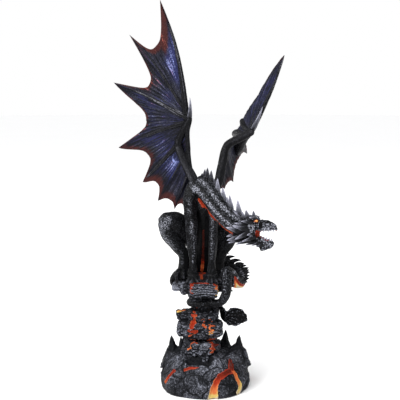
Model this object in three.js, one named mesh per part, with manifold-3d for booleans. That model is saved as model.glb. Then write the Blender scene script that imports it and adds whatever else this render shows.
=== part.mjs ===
// Dragon on a lava-rock pillar: a painted resin statue standing on its own plinth.
// Millimetres, +Z up, the viewer in front stands on the -Y side.
// Four pieces: the rock plinth, the dragon's body with its tail, and two plug-in wings.
import * as THREE from 'three';
import { mergeVertices } from 'three/addons/utils/BufferGeometryUtils.js';
import Module from 'manifold-3d';

const wasm = await Module();
wasm.setup();

// ---- driving sizes --------------------------------------------------------------------------
const GAP = 0.3;                 // clear space left between two pieces that sit on each other
const BASE_RADIUS = 78.5;        // footprint of the mound
const MOUND_TOP = 64;            // where the mound ends and the pillar starts
const NEEDLE_FOOT = 34;          // height inside the mound from which its needles rise
const LEDGE_TOP = 193;           // flat of the rock the forepaws stand on
const CHUNK_TOP = 189;           // the lower stone under the right hind foot
const COIL_CENTRE = [-4, 0];     // axis of the pillar's neck, which the tail winds round
const NECK_OF_ROCK = 13.6;       // radius of that neck
const COIL_RADIUS = 20.8;        // radius of the tail's centre line round it
const COIL_TOP = 151;            // height at which the coil starts; it sinks as it goes round
const COIL_TUBE = 6.4;           // radius of the tail there
const HORN_POINT = 0.35;         // radius at the very tip of a horn, claw or needle
const HEAD_Y = -54;              // middle plane of the head
const STRAND_Y = -29;            // how far forward the tail hangs past the ledge
const MEMBRANE = 2.6;            // thickness of a wing membrane
const BILLOW = 6;                // how far each membrane panel bellies back
const SHALLOW = 0.13;            // a panel cut back less than this needs one ray, a deeper one three

// ---- small vector and mesh helpers ----------------------------------------------------------
const V = (p) => new THREE.Vector3(p[0], p[1], p[2]);
const mix = (a, b, t) => a + (b - a) * t;

/** A closed three.js geometry as a solid that can be joined and cut. */
function solid(geometry) {
  geometry.deleteAttribute('normal');
  geometry.deleteAttribute('uv');
  const merged = mergeVertices(geometry, 1e-4);
  return new wasm.Manifold(new wasm.Mesh({
    numProp: 3,
    vertProperties: Float32Array.from(merged.attributes.position.array),
    triVerts: Uint32Array.from(merged.index.array),
  }));
}

/** Rings of equal count joined into one closed skin, each end closed by a fan to its centre. */
function skin(rings) {
  const n = rings[0].length;
  const points = rings.flat();
  const triangles = [];
  for (let i = 0; i + 1 < rings.length; i += 1) {
    for (let j = 0; j < n; j += 1) {
      const a = i * n + j;
      const b = i * n + ((j + 1) % n);
      triangles.push(a, b, b + n, a, b + n, a + n);
    }
  }
  for (const end of [0, rings.length - 1]) {
    const middle = new THREE.Vector3();
    rings[end].forEach((p) => middle.addScaledVector(p, 1 / n));
    const c = points.push(middle) - 1;
    for (let j = 0; j < n; j += 1) {
      const a = end * n + j;
      const b = end * n + ((j + 1) % n);
      triangles.push(c, end === 0 ? b : a, end === 0 ? a : b);
    }
  }
  const geometry = new THREE.BufferGeometry().setFromPoints(points);
  geometry.setIndex(triangles);
  const shape = solid(geometry);
  if (shape.volume() > 0) return shape;
  geometry.setIndex(triangles.reverse());      // the rings ran the other way round: face outward
  return solid(geometry);
}

/** A limb: an oval ring at each station [x, y, z, half width, half height], set square to a smooth
 *  curve through the stations. `up` is the direction of the half height. */
function limb(stations, { up = [0, 0, 1], sides = 8, grow = 0 } = {}) {
  const path = new THREE.CatmullRomCurve3(stations.map(V), false, 'centripetal');
  return skin(stations.map((station, k) => {
    const along = path.getTangent(k / (stations.length - 1));
    const side = new THREE.Vector3().crossVectors(along, V(up)).normalize();
    const crown = new THREE.Vector3().crossVectors(side, along).normalize();
    side.multiplyScalar(grow + station[3]);
    crown.multiplyScalar(grow + station.at(-1));
    return Array.from({ length: sides }, (_, j) => {
      const a = (2 * Math.PI * (j + 0.5)) / sides;
      return V(station).addScaledVector(side, Math.cos(a)).addScaledVector(crown, Math.sin(a));
    });
  }));
}

/** A horn or claw: a cone from a point inside the body to its tip, `flat` times as thick as wide. */
function horn(root, tip, radius, { sides = 5, wideAlong = [1, 0, 0], flat = 1 } = {}) {
  const axis = V(tip).sub(V(root)).normalize();
  const wide = V(wideAlong).addScaledVector(axis, -V(wideAlong).dot(axis)).normalize();
  const thick = new THREE.Vector3().crossVectors(axis, wide);
  const ring = (centre, r) => Array.from({ length: sides }, (_, j) => {
    const a = (2 * Math.PI * j) / sides;
    return V(centre).addScaledVector(wide, r * Math.cos(a)).addScaledVector(thick, r * flat * Math.sin(a));
  });
  return skin([ring(root, radius), ring(tip, HORN_POINT)]);
}

/** Small repeatable irregularity for the rocks, from a position and a seed. */
function rough(x, y, z, seed) {
  return Math.sin(x * 5.1 + seed * 1.7) * Math.cos(y * 4.3 - seed) * 0.5
    + Math.sin(z * 6.7 + x * 2.9 + seed * 0.6) * 0.5;
}

/** A block of rock: a rounded, slightly broken box of the given half sizes. */
function rock(centre, half, seed, { detail = 1, square = 0.55, broken = 0.07 } = {}) {
  const ball = new THREE.IcosahedronGeometry(1, detail);
  const p = ball.attributes.position;
  for (let i = 0; i < p.count; i += 1) {
    const q = [p.getX(i), p.getY(i), p.getZ(i)].map((v) => Math.round(v * 1e4) / 1e4);
    const out = q.map((v, k) => {
      const boxy = Math.sign(v) * Math.abs(v) ** square;
      return centre[k] + half[k] * boxy * (1 + broken * rough(...q, seed + k));
    });
    p.setXYZ(i, ...out);
  }
  return solid(ball);
}

const join = (parts) => wasm.Manifold.union(parts);

/** A plain box between two corners. */
function block(low, high) {
  const size = high.map((v, k) => v - low[k]);
  const box = new THREE.BoxGeometry(...size);
  box.translate(...low.map((v, k) => v + size[k] / 2));
  return solid(box);
}

/** A finished solid as a named mesh with its own paint. */
function mesh(name, shape, colour, roughness) {
  const data = shape.getMesh();
  const geometry = new THREE.BufferGeometry();
  const points = new Float32Array(data.numVert * 3);
  for (let i = 0; i < data.numVert; i += 1) {
    for (let k = 0; k < 3; k += 1) points[i * 3 + k] = data.vertProperties[i * data.numProp + k];
  }
  geometry.setAttribute('position', new THREE.BufferAttribute(points, 3));
  geometry.setIndex(Array.from(data.triVerts));
  geometry.computeVertexNormals();
  const paint = new THREE.MeshStandardMaterial({ color: colour, roughness, metalness: 0 });
  const out = new THREE.Mesh(geometry, paint);
  out.name = name;
  return out;
}

// ---- the lava-rock plinth -------------------------------------------------------------------
/** The mound: rings of falling radius, lobed like a heap of boulders, flat underneath. */
function mound() {
  const profile = [               // [height, share of the base radius]
    [0, 0.96], [9, 0.99], [24, 0.965], [38, 0.91], [50, 0.81], [59, 0.66], [MOUND_TOP, 0.45],
  ];
  const square = 2.35;           // 2 would be a true circle
  const around = 27;
  return skin(profile.map(([z, scale]) => Array.from({ length: around }, (_, j) => {
    const a = (2 * Math.PI * j) / around;
    const lobes = 0.02 * Math.cos(5 * a + 0.6) + 0.012 * Math.cos(9 * a + 2);
    const corner = (Math.abs(Math.cos(a)) ** square + Math.abs(Math.sin(a)) ** square) ** (-1 / square);
    const r = BASE_RADIUS * scale * corner * (1 + lobes * (0.6 + z / 60));
    return new THREE.Vector3(1 + r * Math.cos(a), r * Math.sin(a), z);
  })));
}

function plinth() {
  const needles = [              // [root x, y, tip x, y, height of the tip, radius at the root]
    [-53, -3, -57, 0, 88, 26], [-39, -8, -40, -10, 90, 17], [34, 18, 39, 20, 93, 22],
    [57, 2, 62, 0, 89, 26], [-30, 42, -34, 46, 81, 22], [6, 50, 8, 54, 79, 22],
  ];
  const parts = [
    mound(),
    ...needles.map(([x, y, tx, ty, top, r]) => horn([x, y, NEEDLE_FOOT], [tx, ty, top], r)),
    // pillar, from the mound up
    rock([-4, -2, 66], [35, 33, 20], 1, { square: 0.7 }),
    rock([-3, -26, 72], [21, 15, 11.5], 2),
    rock([2, -40, 56], [6, 9, 9], 4),
    rock([-6, -2, 102], [40, 33, 17], 5),
    rock([-28, -12, 104], [20, 18, 14], 6),
    rock([15, -12, 104], [19, 20, 13], 7),
    rock([-37, 0, 126], [12.5, 13, 9], 8),
    rock([-1, 0, 126], [29, 22, 10.5], 9),
    limb([[...COIL_CENTRE, 120, NECK_OF_ROCK], [...COIL_CENTRE, 170, NECK_OF_ROCK]], { up: [0, 1, 0] }),
    rock([...COIL_CENTRE, 165], [23, 21, 7], 14),
    // the ledge the dragon sits on
    rock([-1, -8, 178.5], [25.5, 29, 15.5], 10, { detail: 2, square: 0.42, broken: 0.05 }),
    rock([2, 16, 178.5], [33, 28, 15.5], 11, { detail: 2, square: 0.45, broken: 0.05 }),
    rock([-30, 2, 175], [13, 20, 13.5], 12),
    rock([-47, -6, 179], [8.5, 9, 11.5], 13),
    rock([14, -22, 168], [9.5, 13, 6.5], 15),
    rock([26, -8, 177], [10, 10, 9.5], 16),
    rock([-29, 16, 176], [14, 22, 13.5], 17),
  ];
  return join(parts)
    .subtract(block([-36, -60, LEDGE_TOP], [60, 70, 230]))
    .subtract(block([-70, -60, CHUNK_TOP], [-35.9, 70, 230]))
    .subtract(block([-100, -100, -40], [100, 100, 0]));
}

// ---- the dragon -----------------------------------------------------------------------------
/** Toes spread from inside the ankle, each arched over its middle joint and ending in a claw. */
function toes(ankle, tips, radius) {
  return tips.map((tip) => limb([
    [...V(ankle).lerp(V(tip), 0.25), radius],
    [mix(ankle[0], tip[0], 0.62), mix(ankle[1], tip[1], 0.62), mix(ankle[2], tip[2], 0.5), radius],
    [...tip, 1.2],
  ], { sides: 4 }));
}

function legs(grow = 0) {
  return [
    // forelegs, straight down to the front edge of the ledge
    limb([[-8, 4, 357, 9], [-17, 0, 348, 13.5], [-22.5, -5, 332, 13.5], [-23.5, -13, 309, 11],
      [-21.5, -20, 287, 10.6], [-21, -25, 264, 9.2], [-20, -28, 242, 7], [-19, -29, 226, 5],
      [-18.5, -32, 208, 8], [-18, -33, 199, 7]], { up: [0, 1, 0], grow }),
    limb([[10, -2, 346, 13], [14, -8, 332, 12], [15, -15, 312, 9], [15, -20, 290, 7.6], [15, -25, 262, 7.4],
      [14, -28, 242, 7], [13, -29, 226, 6], [13.5, -32, 208, 8], [14, -33, 199, 7]], { up: [0, 1, 0], grow }),
    ...toes([-18.5, -31, 205], [[-27, -41, 195], [-20, -45, 195], [-12, -44, 195], [-8, -36, 195]], 3.6),
    ...toes([13.5, -31, 205], [[5, -41, 195], [12, -45, 195], [20, -44, 195], [25, -36, 195]], 3.6),
    // hind legs: thigh out to the knee, shin back to the heel, foot forward
    limb([[-6, 42, 244, 20], [-32, 24, 268, 23], [-50, 8, 284, 21], [-64, -2, 289, 16.5],
      [-75, -7, 287, 7]], { up: [0, 1, 0.4], grow }),
    limb([[-66, -6, 290, 13], [-60, -2, 269, 14], [-46, 4, 247, 12], [-35.5, 8, 228, 9],
      [-35, 6, 213, 9.5], [-38, 3, 199, 10]], { up: [0, 1, 0], grow }),
    limb([[10, 44, 246, 20], [30, 26, 260, 20], [46, 6, 270, 14]], { up: [0, 1, 0.4], grow }),
    limb([[47, 5, 271, 12], [41, 8, 252, 12], [31, 12, 232, 9], [27, 12, 214, 7.5], [26, 8, 200, 8]],
      { up: [0, 1, 0], grow }),
    ...toes([-42, 1, 202], [[-57, -9, 191], [-51, -15, 191], [-43, -17, 191], [-34, -15, 195]], 7.5),
    ...toes([25, 8, 202], [[28, -6, 195], [21, -8, 195]], 4.6),
  ];
}

function torsoAndNeck(grow = 0) {
  return [
    limb([[0, 10, 364, 9, 9], [0, 8, 346, 21, 20], [0, 8, 322, 25, 23], [2, 14, 292, 24, 24],
      [2, 26, 258, 26, 24], [1, 37, 230, 33, 22], [0, 42, 208, 36, 19], [0, 44, 186, 32, 16]],
    { up: [0, 1, 0], sides: 12, grow }),
    limb([[-9, 8, 351, 14, 16.5], [-4, 0, 348, 18, 20.5], [7, -11, 339, 17, 19.5], [19, -24, 324, 15.5, 18.5],
      [32, -35, 309, 14.5, 17.5], [45, -43, 297, 13.5, 18], [58, -49, 289, 12.5, 19]], { sides: 10, grow }),
  ];
}

function head() {
  const plates = [               // swept back: [root x, z, tip x, z, off the middle, half width]
    [68, 297, 48, 317.5, 7, 4], [70, 288, 46, 297, 10, 6], [62, 282, 35, 292.5, 10, 6],
    [66, 277, 37, 271, 9, 6], [76, 270, 51, 263.5, 9, 5],
  ];
  const plate = (x, z, tx, tz, off, half, s) => horn([x, HEAD_Y + 1 + s * (off - 1), z],
    [tx, HEAD_Y + s * (off + 3), tz], half, { flat: 0.5, sides: 4 });
  return [
    limb([[54, -49, 286, 11, 17], [66, -52, 285, 13, 19], [78, -53, 287, 12, 17],
      [88, HEAD_Y, 291.5, 9.5, 12], [98, HEAD_Y, 293.5, 7.5, 8.6], [108, HEAD_Y, 294, 6.3, 7.6],
      [115, HEAD_Y, 291, 4.4, 6], [119, HEAD_Y, 286, 2, 2.4]]),
    limb([[62, -51, 274, 11, 11], [76, -53, 271, 10.5, 10], [88, HEAD_Y, 268, 8.5, 9],
      [98, HEAD_Y, 262.5, 6.8, 9.6], [107, HEAD_Y, 261.5, 5.4, 8.4], [115, HEAD_Y, 263, 2.4, 3]]),
    horn([99, HEAD_Y, 264], [95, HEAD_Y, 249.5], 7, { flat: 0.8 }),          // chin
    ...[-1, 1].flatMap((s) => [
      horn([86, HEAD_Y + s * 5, 303], [90, HEAD_Y + s * 7.5, 307], 4),       // brow
      ...plates.map((row) => plate(...row, s)),
    ]),
  ];
}

/** The row of flat spikes down the back of the neck: [root x, y, z, tip x, y, z, half length]. */
function crest() {
  const rows = [
    [2.4, 8, 357, 1.6, 8, 378, 6], [6.7, 3, 355, 5.8, 4, 381, 7], [12.5, -8, 350, 12, -4, 377.5, 7],
    [23.6, -25, 338, 22.4, -18, 365.5, 7], [34, -32, 324, 30.7, -26, 351.5, 8],
    [45.4, -39, 313, 42.1, -34, 340, 7.5], [58.6, -45, 306, 55.2, -40, 332.5, 8],
    [72.5, -49.5, 300, 68.7, -46, 317, 7], [83, -52.5, 299, 80.7, -50, 316.5, 6.5],
  ];
  return rows.map(([x, y, z, tx, ty, tz, r]) => horn([x, y, z], [tx, ty, tz], r,
    { sides: 4, flat: 0.35, wideAlong: [0.8, -0.25, -0.3] }));
}

/** The tail: from the rump out to one side, round a loop, down past the ledge, once round the pillar. */
function tail() {
  const coil = [300, 270, 235, 200, 165, 130, 95].map((degrees, k) => {
    const a = (degrees * Math.PI) / 180;
    const [x, y] = [COIL_RADIUS * Math.cos(a), COIL_RADIUS * Math.sin(a)];
    return [COIL_CENTRE[0] + x, COIL_CENTRE[1] + y, COIL_TOP - k * 1.1, COIL_TUBE - k * 0.15];
  });
  const path = [
    [2, 44, 214, 15], [20, 57, 211, 13], [37, 62, 202, 12], [51, 57, 192, 11], [60, 43, 186.5, 10.6],
    [64, 24, 183, 10], [62, 7, 180.5, 10], [54, -7, 185, 10], [45, -17, 201, 10], [38, -25, 207, 9.6],
    [37.5, -29, 195, 9.2], [38, -29, 180, 8.6], [36, -28, 166, 8], [27, -26.5, 154, 6.8],
    ...coil, [22, 27, 134, 5], [35, 18, 126, 4.4],
  ];
  const leaf = limb([[32, 17, 127, 2, 4], [39, 14, 119, 3.5, 12], [52, 13, 117, 4, 17],
    [66, 13, 115, 3.4, 13], [75, 12, 111, 1.5, 3]]);
  const backFins = [             // [root x, y, z, tip x, y, z], along the top of the loop
    [28, 58, 214, 45.4, 60, 220], [37, 60, 207, 56, 62, 214], [47, 57, 202, 67, 59, 207.6],
    [55, 53, 196.6, 72.6, 55, 202.4], [60.4, 48, 193, 76.2, 49, 200.4], [65.4, 41, 189, 80.2, 42, 198],
    [68, 26, 186, 81.2, 27, 194], [68, 9, 182, 79, 8, 186.6],
  ].map(([x, y, z, ...tip]) => horn([x, y, z], tip, 6, { sides: 4, flat: 0.5, wideAlong: [0.3, 0, 1] }));
  const sideFins = [             // [root x, z, length], down the outer side of the hanging strand
    [43, 203, 8], [43, 195, 8], [43, 187, 8], [43, 179, 7.5], [40, 171, 7], [35, 163, 6],
  ].map(([x, z, length]) => horn([x, STRAND_Y, z], [x + length, STRAND_Y - 1, z - 2], 4,
    { sides: 4, flat: 0.45, wideAlong: [0, 0, 1] }));
  return [limb(path, { up: [0, 0.35, 1] }), leaf, ...backFins, ...sideFins];
}

function dragon() {
  const onLedge = block([-35.9, -60, 150], [45, 75, LEDGE_TOP + GAP]);
  const onChunk = block([-80, -60, 150], [-35.8, 75, CHUNK_TOP + GAP]);
  const sitting = join([...legs(), ...torsoAndNeck(), ...head(), ...crest()]);
  return sitting.subtract(onLedge).subtract(onChunk).add(join(tail()));
}

// ---- the wings ------------------------------------------------------------------------------
/** One wing, as a sheet of rays from its inner edge to its trailing edge, with the finger bones
 *  standing out of it. `fingers` runs from the highest round to the body, each [start, tip, half
 *  thickness at the root, bow]. `panels` gives the cut in the edge between two fingers: [depth,
 *  place of the deepest point], with 'own' where it cuts towards its own start, not the hub.
 *  `arm` and each of `knuckles` are limbs that stand out of the sheet. */
function wing({ hub, fingers, panels, away, thumb, arm, knuckles = [] }) {
  const stops = [0, 0.27, 0.55, 0.82, 1];
  const lines = fingers.map(([start, tip, , bow]) => stops.map((s) => V(start).lerp(V(tip), s)
    .addScaledVector(V(bow), Math.sin(Math.PI * s))));
  const boneAt = (i) => stops.map((s) => mix(fingers[i][2], MEMBRANE / 2, s ** 0.8));
  const sheet = stops.map(() => MEMBRANE / 2);
  const beside = (finger, next, r) => finger.map((p, k) => {
    const step = next[k].clone().sub(p);
    return p.clone().addScaledVector(step, Math.min(0.4, r[k] / Math.max(step.length(), 0.01)));
  });
  const rows = [];
  const put = (points, thickness) => rows.push({ points, thickness });
  panels.forEach(([depth, place, own], i) => {
    const skew = Math.log(0.5) / Math.log(place);
    const [[startA, tipA], [startB, tipB]] = [fingers[i], fingers[i + 1]];
    const from = V(tipA).sub(V(hub));
    const to = V(tipB).sub(V(hub));
    const across = Math.abs(depth) < SHALLOW ? [0.5] : [0.18, 0.5, 0.82];
    const panel = across.map((f) => {
      const dip = 1 - depth * (1 - Math.abs(2 * f ** skew - 1) ** 3);
      const start = V(startA).lerp(V(startB), f);
      const way = from.clone().normalize().lerp(to.clone().normalize(), f).normalize();
      const end = own ? start.clone().lerp(V(tipA).lerp(V(tipB), f), dip)
        : V(hub).addScaledVector(way, mix(from.length(), to.length(), f) * dip);
      return stops.map((s, k) => {
        const along = lines[i][k].clone().lerp(lines[i + 1][k], f);
        return start.clone().lerp(end, s).lerp(along, 0.35 * (1 - s))
          .addScaledVector(V(away), BILLOW * Math.sin(Math.PI * f) * Math.sin(Math.PI * s));
      });
    });
    put(lines[i], boneAt(i));
    put(beside(lines[i], panel[0], boneAt(i)), sheet);
    panel.forEach((points) => put(points, sheet));
    put(beside(lines[i + 1], panel.at(-1), boneAt(i + 1)), sheet);
  });
  put(lines.at(-1), boneAt(fingers.length - 1));
  const rings = rows.map(({ points, thickness }) => [
    ...points.map((p, k) => p.clone().addScaledVector(V(away), thickness[k])),
    ...points.map((p, k) => p.clone().addScaledVector(V(away), -thickness[k])).reverse(),
  ]);
  const limbs = [arm, ...knuckles].map((line) => limb(line, { up: away, sides: 6 }));
  return join([skin(rings), ...limbs, horn(...thumb)]);
}

/** The dragon's right wing, spread towards the viewer's left. */
function wingRight() {
  return wing({
    hub: [-25, 18, 462],
    fingers: [
      [[-26, 18, 472], [-74, 44, 660], 4.2, [6.5, 0, 7.8]],
      [[-28, 18, 468], [-128, 66, 603], 3.2, [3, 0, 3.6]],
      [[-29, 18, 463], [-157, 72, 522], 3.6, [2.5, 0, 3]],
      [[-29, 18, 457], [-150.5, 70, 409], 3.2, [3, 0, 3.6]],
      [[-26, 17, 438], [-107.5, 54, 350.5], 3.4, [-1.5, 0, -1.8]],
      [[-26, 15, 412], [-80.5, 40, 319], 1.6, [1, 0, 1.2]],
      [[-22, 12, 386], [-51, 26, 306], 1.4, [0, 0, 0]],
      [[-15, 12, 362], [-35, 18, 312], 1.4, [0, 0, 0]],
    ],
    panels: [[0.29, 0.5], [0.44, 0.43], [0.46, 0.55], [0.3, 0.6], [0.15, 0.65], [0.08, 0.6], [0.05, 0.5]],
    away: [0.35, 0.94, 0],
    arm: [[-12, 6, 345, 9], [-19, 9, 362, 8], [-36, 17, 395, 7], [-44, 22, 421, 6.5], [-37, 20, 440, 5.4],
      [-25, 18, 462, 6]],
    thumb: [[-25, 17, 464], [-24, 8, 499], 4],
  });
}

/** The dragon's left wing, swung back so that the viewer sees it nearly edge on. */
function wingLeft() {
  return wing({
    hub: [82, 30, 441.5],
    fingers: [
      [[86, 36, 446], [151, 190, 571], 4.6, [6, -3, 6]],
      [[82, 38, 444], [106.5, 203, 500], 3, [-2, 0, 1]],
      [[77, 38, 440], [73, 184, 449], 4, [-7, 0, 3]],
      [[70, 36, 434], [57, 162, 426], 4, [-6, 0, 5]],
      [[62, 36, 429], [79, 124, 393], 3.2, [-4, 0, -4]],
      [[36, 36, 408], [52, 75, 347], 1.6, [0, 0, 0]],
      [[30, 26, 384], [36, 45, 339], 1.4, [0, 0, 0]],
      [[22, 14, 350], [26, 22, 342], 1.4, [0, 0, 0]],
    ],
    panels: [[-0.03, 0.5], [-0.04, 0.5], [0.1, 0.5], [0.3, 0.5], [0.34, 0.36, 'own'],
      [0.12, 0.5, 'own'], [0.05, 0.5, 'own']],
    away: [-0.85, 0.35, 0.35],
    arm: [[14, 6, 338, 9], [23.5, 13, 352, 8], [32, 28, 388, 7.4], [39.5, 38, 415, 6.5], [60, 35, 428, 7],
      [84, 30, 443, 5]],
    knuckles: [
      [[80, 31, 441, 4], [73, 37, 434, 8], [62, 58, 410, 8], [62, 84, 396, 2]],
      [[74, 50, 440, 5], [73, 130, 448, 6.4], [74, 182, 448, 1]],
      [[66, 50, 433, 6], [60, 125, 430, 7.4], [59, 166, 425, 1]],
    ],
    thumb: [[83, 29, 444], [98, 10, 483], 4],
  });
}

// ---- assembly -------------------------------------------------------------------------------
// each wing's root is cut back to the body it plugs against, a hair clear of it
const socket = join([...torsoAndNeck(2 * GAP), ...legs(2 * GAP), ...crest()]);
const statue = new THREE.Group();
statue.add(mesh('lava_rock_plinth', plinth(), 0x3c3f45, 0.8));
statue.add(mesh('dragon_body', dragon(), 0x25262b, 0.5));
statue.add(mesh('wing_right', wingRight().subtract(socket), 0x2b2d48, 0.5));
statue.add(mesh('wing_left', wingLeft().subtract(socket), 0x2b2d48, 0.5));
export default statue;
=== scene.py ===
import math

import bpy
import numpy as np
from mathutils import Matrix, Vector


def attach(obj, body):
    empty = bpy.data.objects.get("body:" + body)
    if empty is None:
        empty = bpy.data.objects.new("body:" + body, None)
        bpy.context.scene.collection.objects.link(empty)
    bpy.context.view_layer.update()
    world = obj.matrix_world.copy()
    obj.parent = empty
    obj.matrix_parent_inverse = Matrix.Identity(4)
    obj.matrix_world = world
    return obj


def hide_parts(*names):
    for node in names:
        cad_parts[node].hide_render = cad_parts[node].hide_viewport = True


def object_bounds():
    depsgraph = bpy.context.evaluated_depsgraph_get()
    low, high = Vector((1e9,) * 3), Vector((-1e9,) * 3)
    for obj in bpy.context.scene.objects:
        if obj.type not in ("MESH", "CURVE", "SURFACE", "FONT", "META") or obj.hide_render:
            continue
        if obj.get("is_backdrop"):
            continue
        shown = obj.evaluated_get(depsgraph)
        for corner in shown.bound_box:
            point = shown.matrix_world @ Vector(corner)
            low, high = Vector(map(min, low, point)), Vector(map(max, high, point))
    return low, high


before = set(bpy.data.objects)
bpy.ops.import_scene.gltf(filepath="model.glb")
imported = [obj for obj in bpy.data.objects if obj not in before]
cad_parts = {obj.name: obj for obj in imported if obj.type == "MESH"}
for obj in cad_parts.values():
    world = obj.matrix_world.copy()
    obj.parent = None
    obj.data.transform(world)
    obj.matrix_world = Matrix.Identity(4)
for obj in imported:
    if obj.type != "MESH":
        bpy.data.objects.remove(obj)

cad_low, cad_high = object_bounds()
scene = bpy.context.scene

# ---- the camera ---------------------------------------------------------------------------------
# A long lens straight in front of the statue, ten degrees above level, as a shop would take it.
# Every shape below is worked out in millimetres and made in metres.
MM = 0.001
LOOK_DOWN = math.radians(10)
STAND_OFF = 1400 * MM
AIM_LEFT = 4.3 * MM           # of the statue's middle
AIM_HEIGHT = 0.4545           # as a share of the statue's height


def in_scene(name, data):
    """A new object in the scene."""
    made = bpy.data.objects.new(name, data)
    scene.collection.objects.link(made)
    return made


aim = Vector(((cad_low.x + cad_high.x) / 2 - AIM_LEFT, 0, cad_high.z * AIM_HEIGHT))
lens = bpy.data.cameras.new("camera")
lens.sensor_width = 36
lens.lens = 74.0
lens.shift_y = 0.0383
lens.clip_start, lens.clip_end = 0.05, 60
camera = in_scene("camera", lens)
camera.location = aim + Vector((0, -math.cos(LOOK_DOWN), math.sin(LOOK_DOWN))) * STAND_OFF
camera.rotation_euler = (math.radians(90) - LOOK_DOWN, 0, 0)
scene.camera = camera
scene.view_settings.view_transform = "Standard"

# ---- the studio ---------------------------------------------------------------------------------
# A white sweep under a broad even ceiling light, with soft boxes round it: the key box high on the
# left, a weaker one on the right, and two behind that draw the edges of the wings.
for name, place, size, watts in [      # places and sizes in metres
    ["key_box", (-1.5, -1.5, 1.5), 0.9, 30], ["fill_box", (1.9, -1.2, 0.9), 1.2, 10],
    ["left_edge_box", (-1.6, 1.4, 1.2), 0.9, 16], ["right_edge_box", (1.6, 1.3, 1.3), 0.9, 16],
]:
    light = bpy.data.lights.new(name, "AREA")
    light.shape = "SQUARE"
    light.size = size
    light.energy = watts
    lamp = in_scene(name, light)
    lamp.location = place
    lamp.rotation_euler = (aim - lamp.location).to_track_quat("-Z", "Y").to_euler()
ceiling = bpy.data.lights.new("ceiling", "SUN")
ceiling.energy = 3.6
ceiling.angle = math.radians(70)
in_scene("ceiling", ceiling).rotation_euler = (math.radians(22), math.radians(-20), 0)


def node(tree, kind, inputs=None, **settings):
    """A node with its settings; each input is a plain value or another node's output socket."""
    made = tree.nodes.new(kind)
    for name, value in settings.items():
        setattr(made, name, value)
    for name, value in (inputs or {}).items():
        if isinstance(value, bpy.types.NodeSocket):
            tree.links.new(value, made.inputs[name])
        else:
            made.inputs[name].default_value = value
    return made


studio = bpy.data.worlds.new("studio")
scene.world = studio
studio.use_nodes = True
air = studio.node_tree
air.nodes.clear()
seen = node(air, "ShaderNodeBackground", {"Color": (1, 1, 1, 1), "Strength": 1.0})
lit = node(air, "ShaderNodeBackground", {"Color": (0.93, 0.95, 1, 1), "Strength": 0.1})
ray = node(air, "ShaderNodeLightPath").outputs["Is Camera Ray"]
both = node(air, "ShaderNodeMixShader", {0: ray, 1: lit.outputs[0], 2: seen.outputs[0]})
node(air, "ShaderNodeOutputWorld", {"Surface": both.outputs[0]})


def material(name):
    """An empty material and its node tree."""
    made = bpy.data.materials.new(name)
    made.use_nodes = True
    made.node_tree.nodes.clear()
    return made, made.node_tree


def here(tree):
    """The place on the object, in metres."""
    return node(tree, "ShaderNodeTexCoord").outputs["Object"]


def clouds(tree, where, scale, detail=2.0, roughness=0.5):
    """Noise from 0 to 1."""
    return node(tree, "ShaderNodeTexNoise", {
        "Vector": where, "Scale": scale, "Detail": detail, "Roughness": roughness}).outputs["Fac"]


def surface(tree, inputs):
    """The outermost layer of a material."""
    shader = node(tree, "ShaderNodeBsdfPrincipled", inputs)
    node(tree, "ShaderNodeOutputMaterial", {"Surface": shader.outputs[0]})


sweep, tree = material("white_sweep")
mottle = clouds(tree, here(tree), 3.0)
shade = node(tree, "ShaderNodeMapRange", {"Value": mottle, "To Min": 0.93, "To Max": 0.95}).outputs[0]
paper = node(tree, "ShaderNodeCombineColor", {0: shade, 1: shade, 2: shade})
surface(tree, {"Base Color": paper.outputs[0], "Roughness": 0.9})

FLOOR_RADIUS = 9              # metres
FLOOR_GAP = 0.5 * MM          # under the statue's foot
turn = np.linspace(0, 2 * np.pi, 96, endpoint=False)
ring = np.stack([np.cos(turn), np.sin(turn), 0 * turn], axis=1) * FLOOR_RADIUS
floor_mesh = bpy.data.meshes.new("floor")
floor_mesh.from_pydata((ring + [0, 0, cad_low.z - FLOOR_GAP]).tolist(), [], [list(range(len(ring)))])
floor_mesh.materials.append(sweep)
in_scene("floor", floor_mesh)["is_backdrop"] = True

# ---- the lava-rock mound ------------------------------------------------------------------------
# The foot of the plinth: a heap of broken boulders with stone needles standing on its shoulders,
# cast in resin with the rest, painted black, dry-brushed grey, its cracks filled with painted lava.
BASE_RADIUS = 77.6
MOUND_TOP = 64
LATTICE = 32                  # corners along one side of the noise's lattice, after which it repeats
SCATTER = 16                  # cubes along one side of the scattered centres, after which they repeat
INSIDE = 0.05                 # how far points are held inside the box
FLAT_FOOT = 0.4               # points lower than this lie on the floor


def noise(points, cell, seed):
    """Soft noise from -1 to 1: random heights on a cubic lattice, eased from corner to corner."""
    heights = np.random.default_rng(seed).uniform(-1, 1, (LATTICE, LATTICE, LATTICE))
    q = points / cell
    low = np.floor(q).astype(int)
    ease = q - low
    ease = ease * ease * (3 - 2 * ease)
    total = np.zeros(len(points))
    for corner in np.ndindex(2, 2, 2):
        i = (low + corner) % LATTICE
        total += np.where(corner, ease, 1 - ease).prod(axis=1) * heights[i[:, 0], i[:, 1], i[:, 2]]
    return total


def rubble(points, cell, seed, layers=3):
    """Layers of soft noise, each half the cell and half the height of the one before."""
    return sum(noise(points, cell / 2**k, seed + k) / 2**k for k in range(layers))


def waver(points, cell, seed):
    """Three rubbles side by side, by which points are moved so that what is drawn there wanders."""
    return np.stack([rubble(points, cell, seed + k) for k in range(3)], axis=1)


def creased(points, cell, seed, layers=3):
    """Crumpled noise: sharp creases run where soft noise crosses zero, in layers half as large."""
    return sum((0.5 - 2 * np.abs(noise(points, cell / 2**k, seed + k))) / 2**k for k in range(layers))


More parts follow.
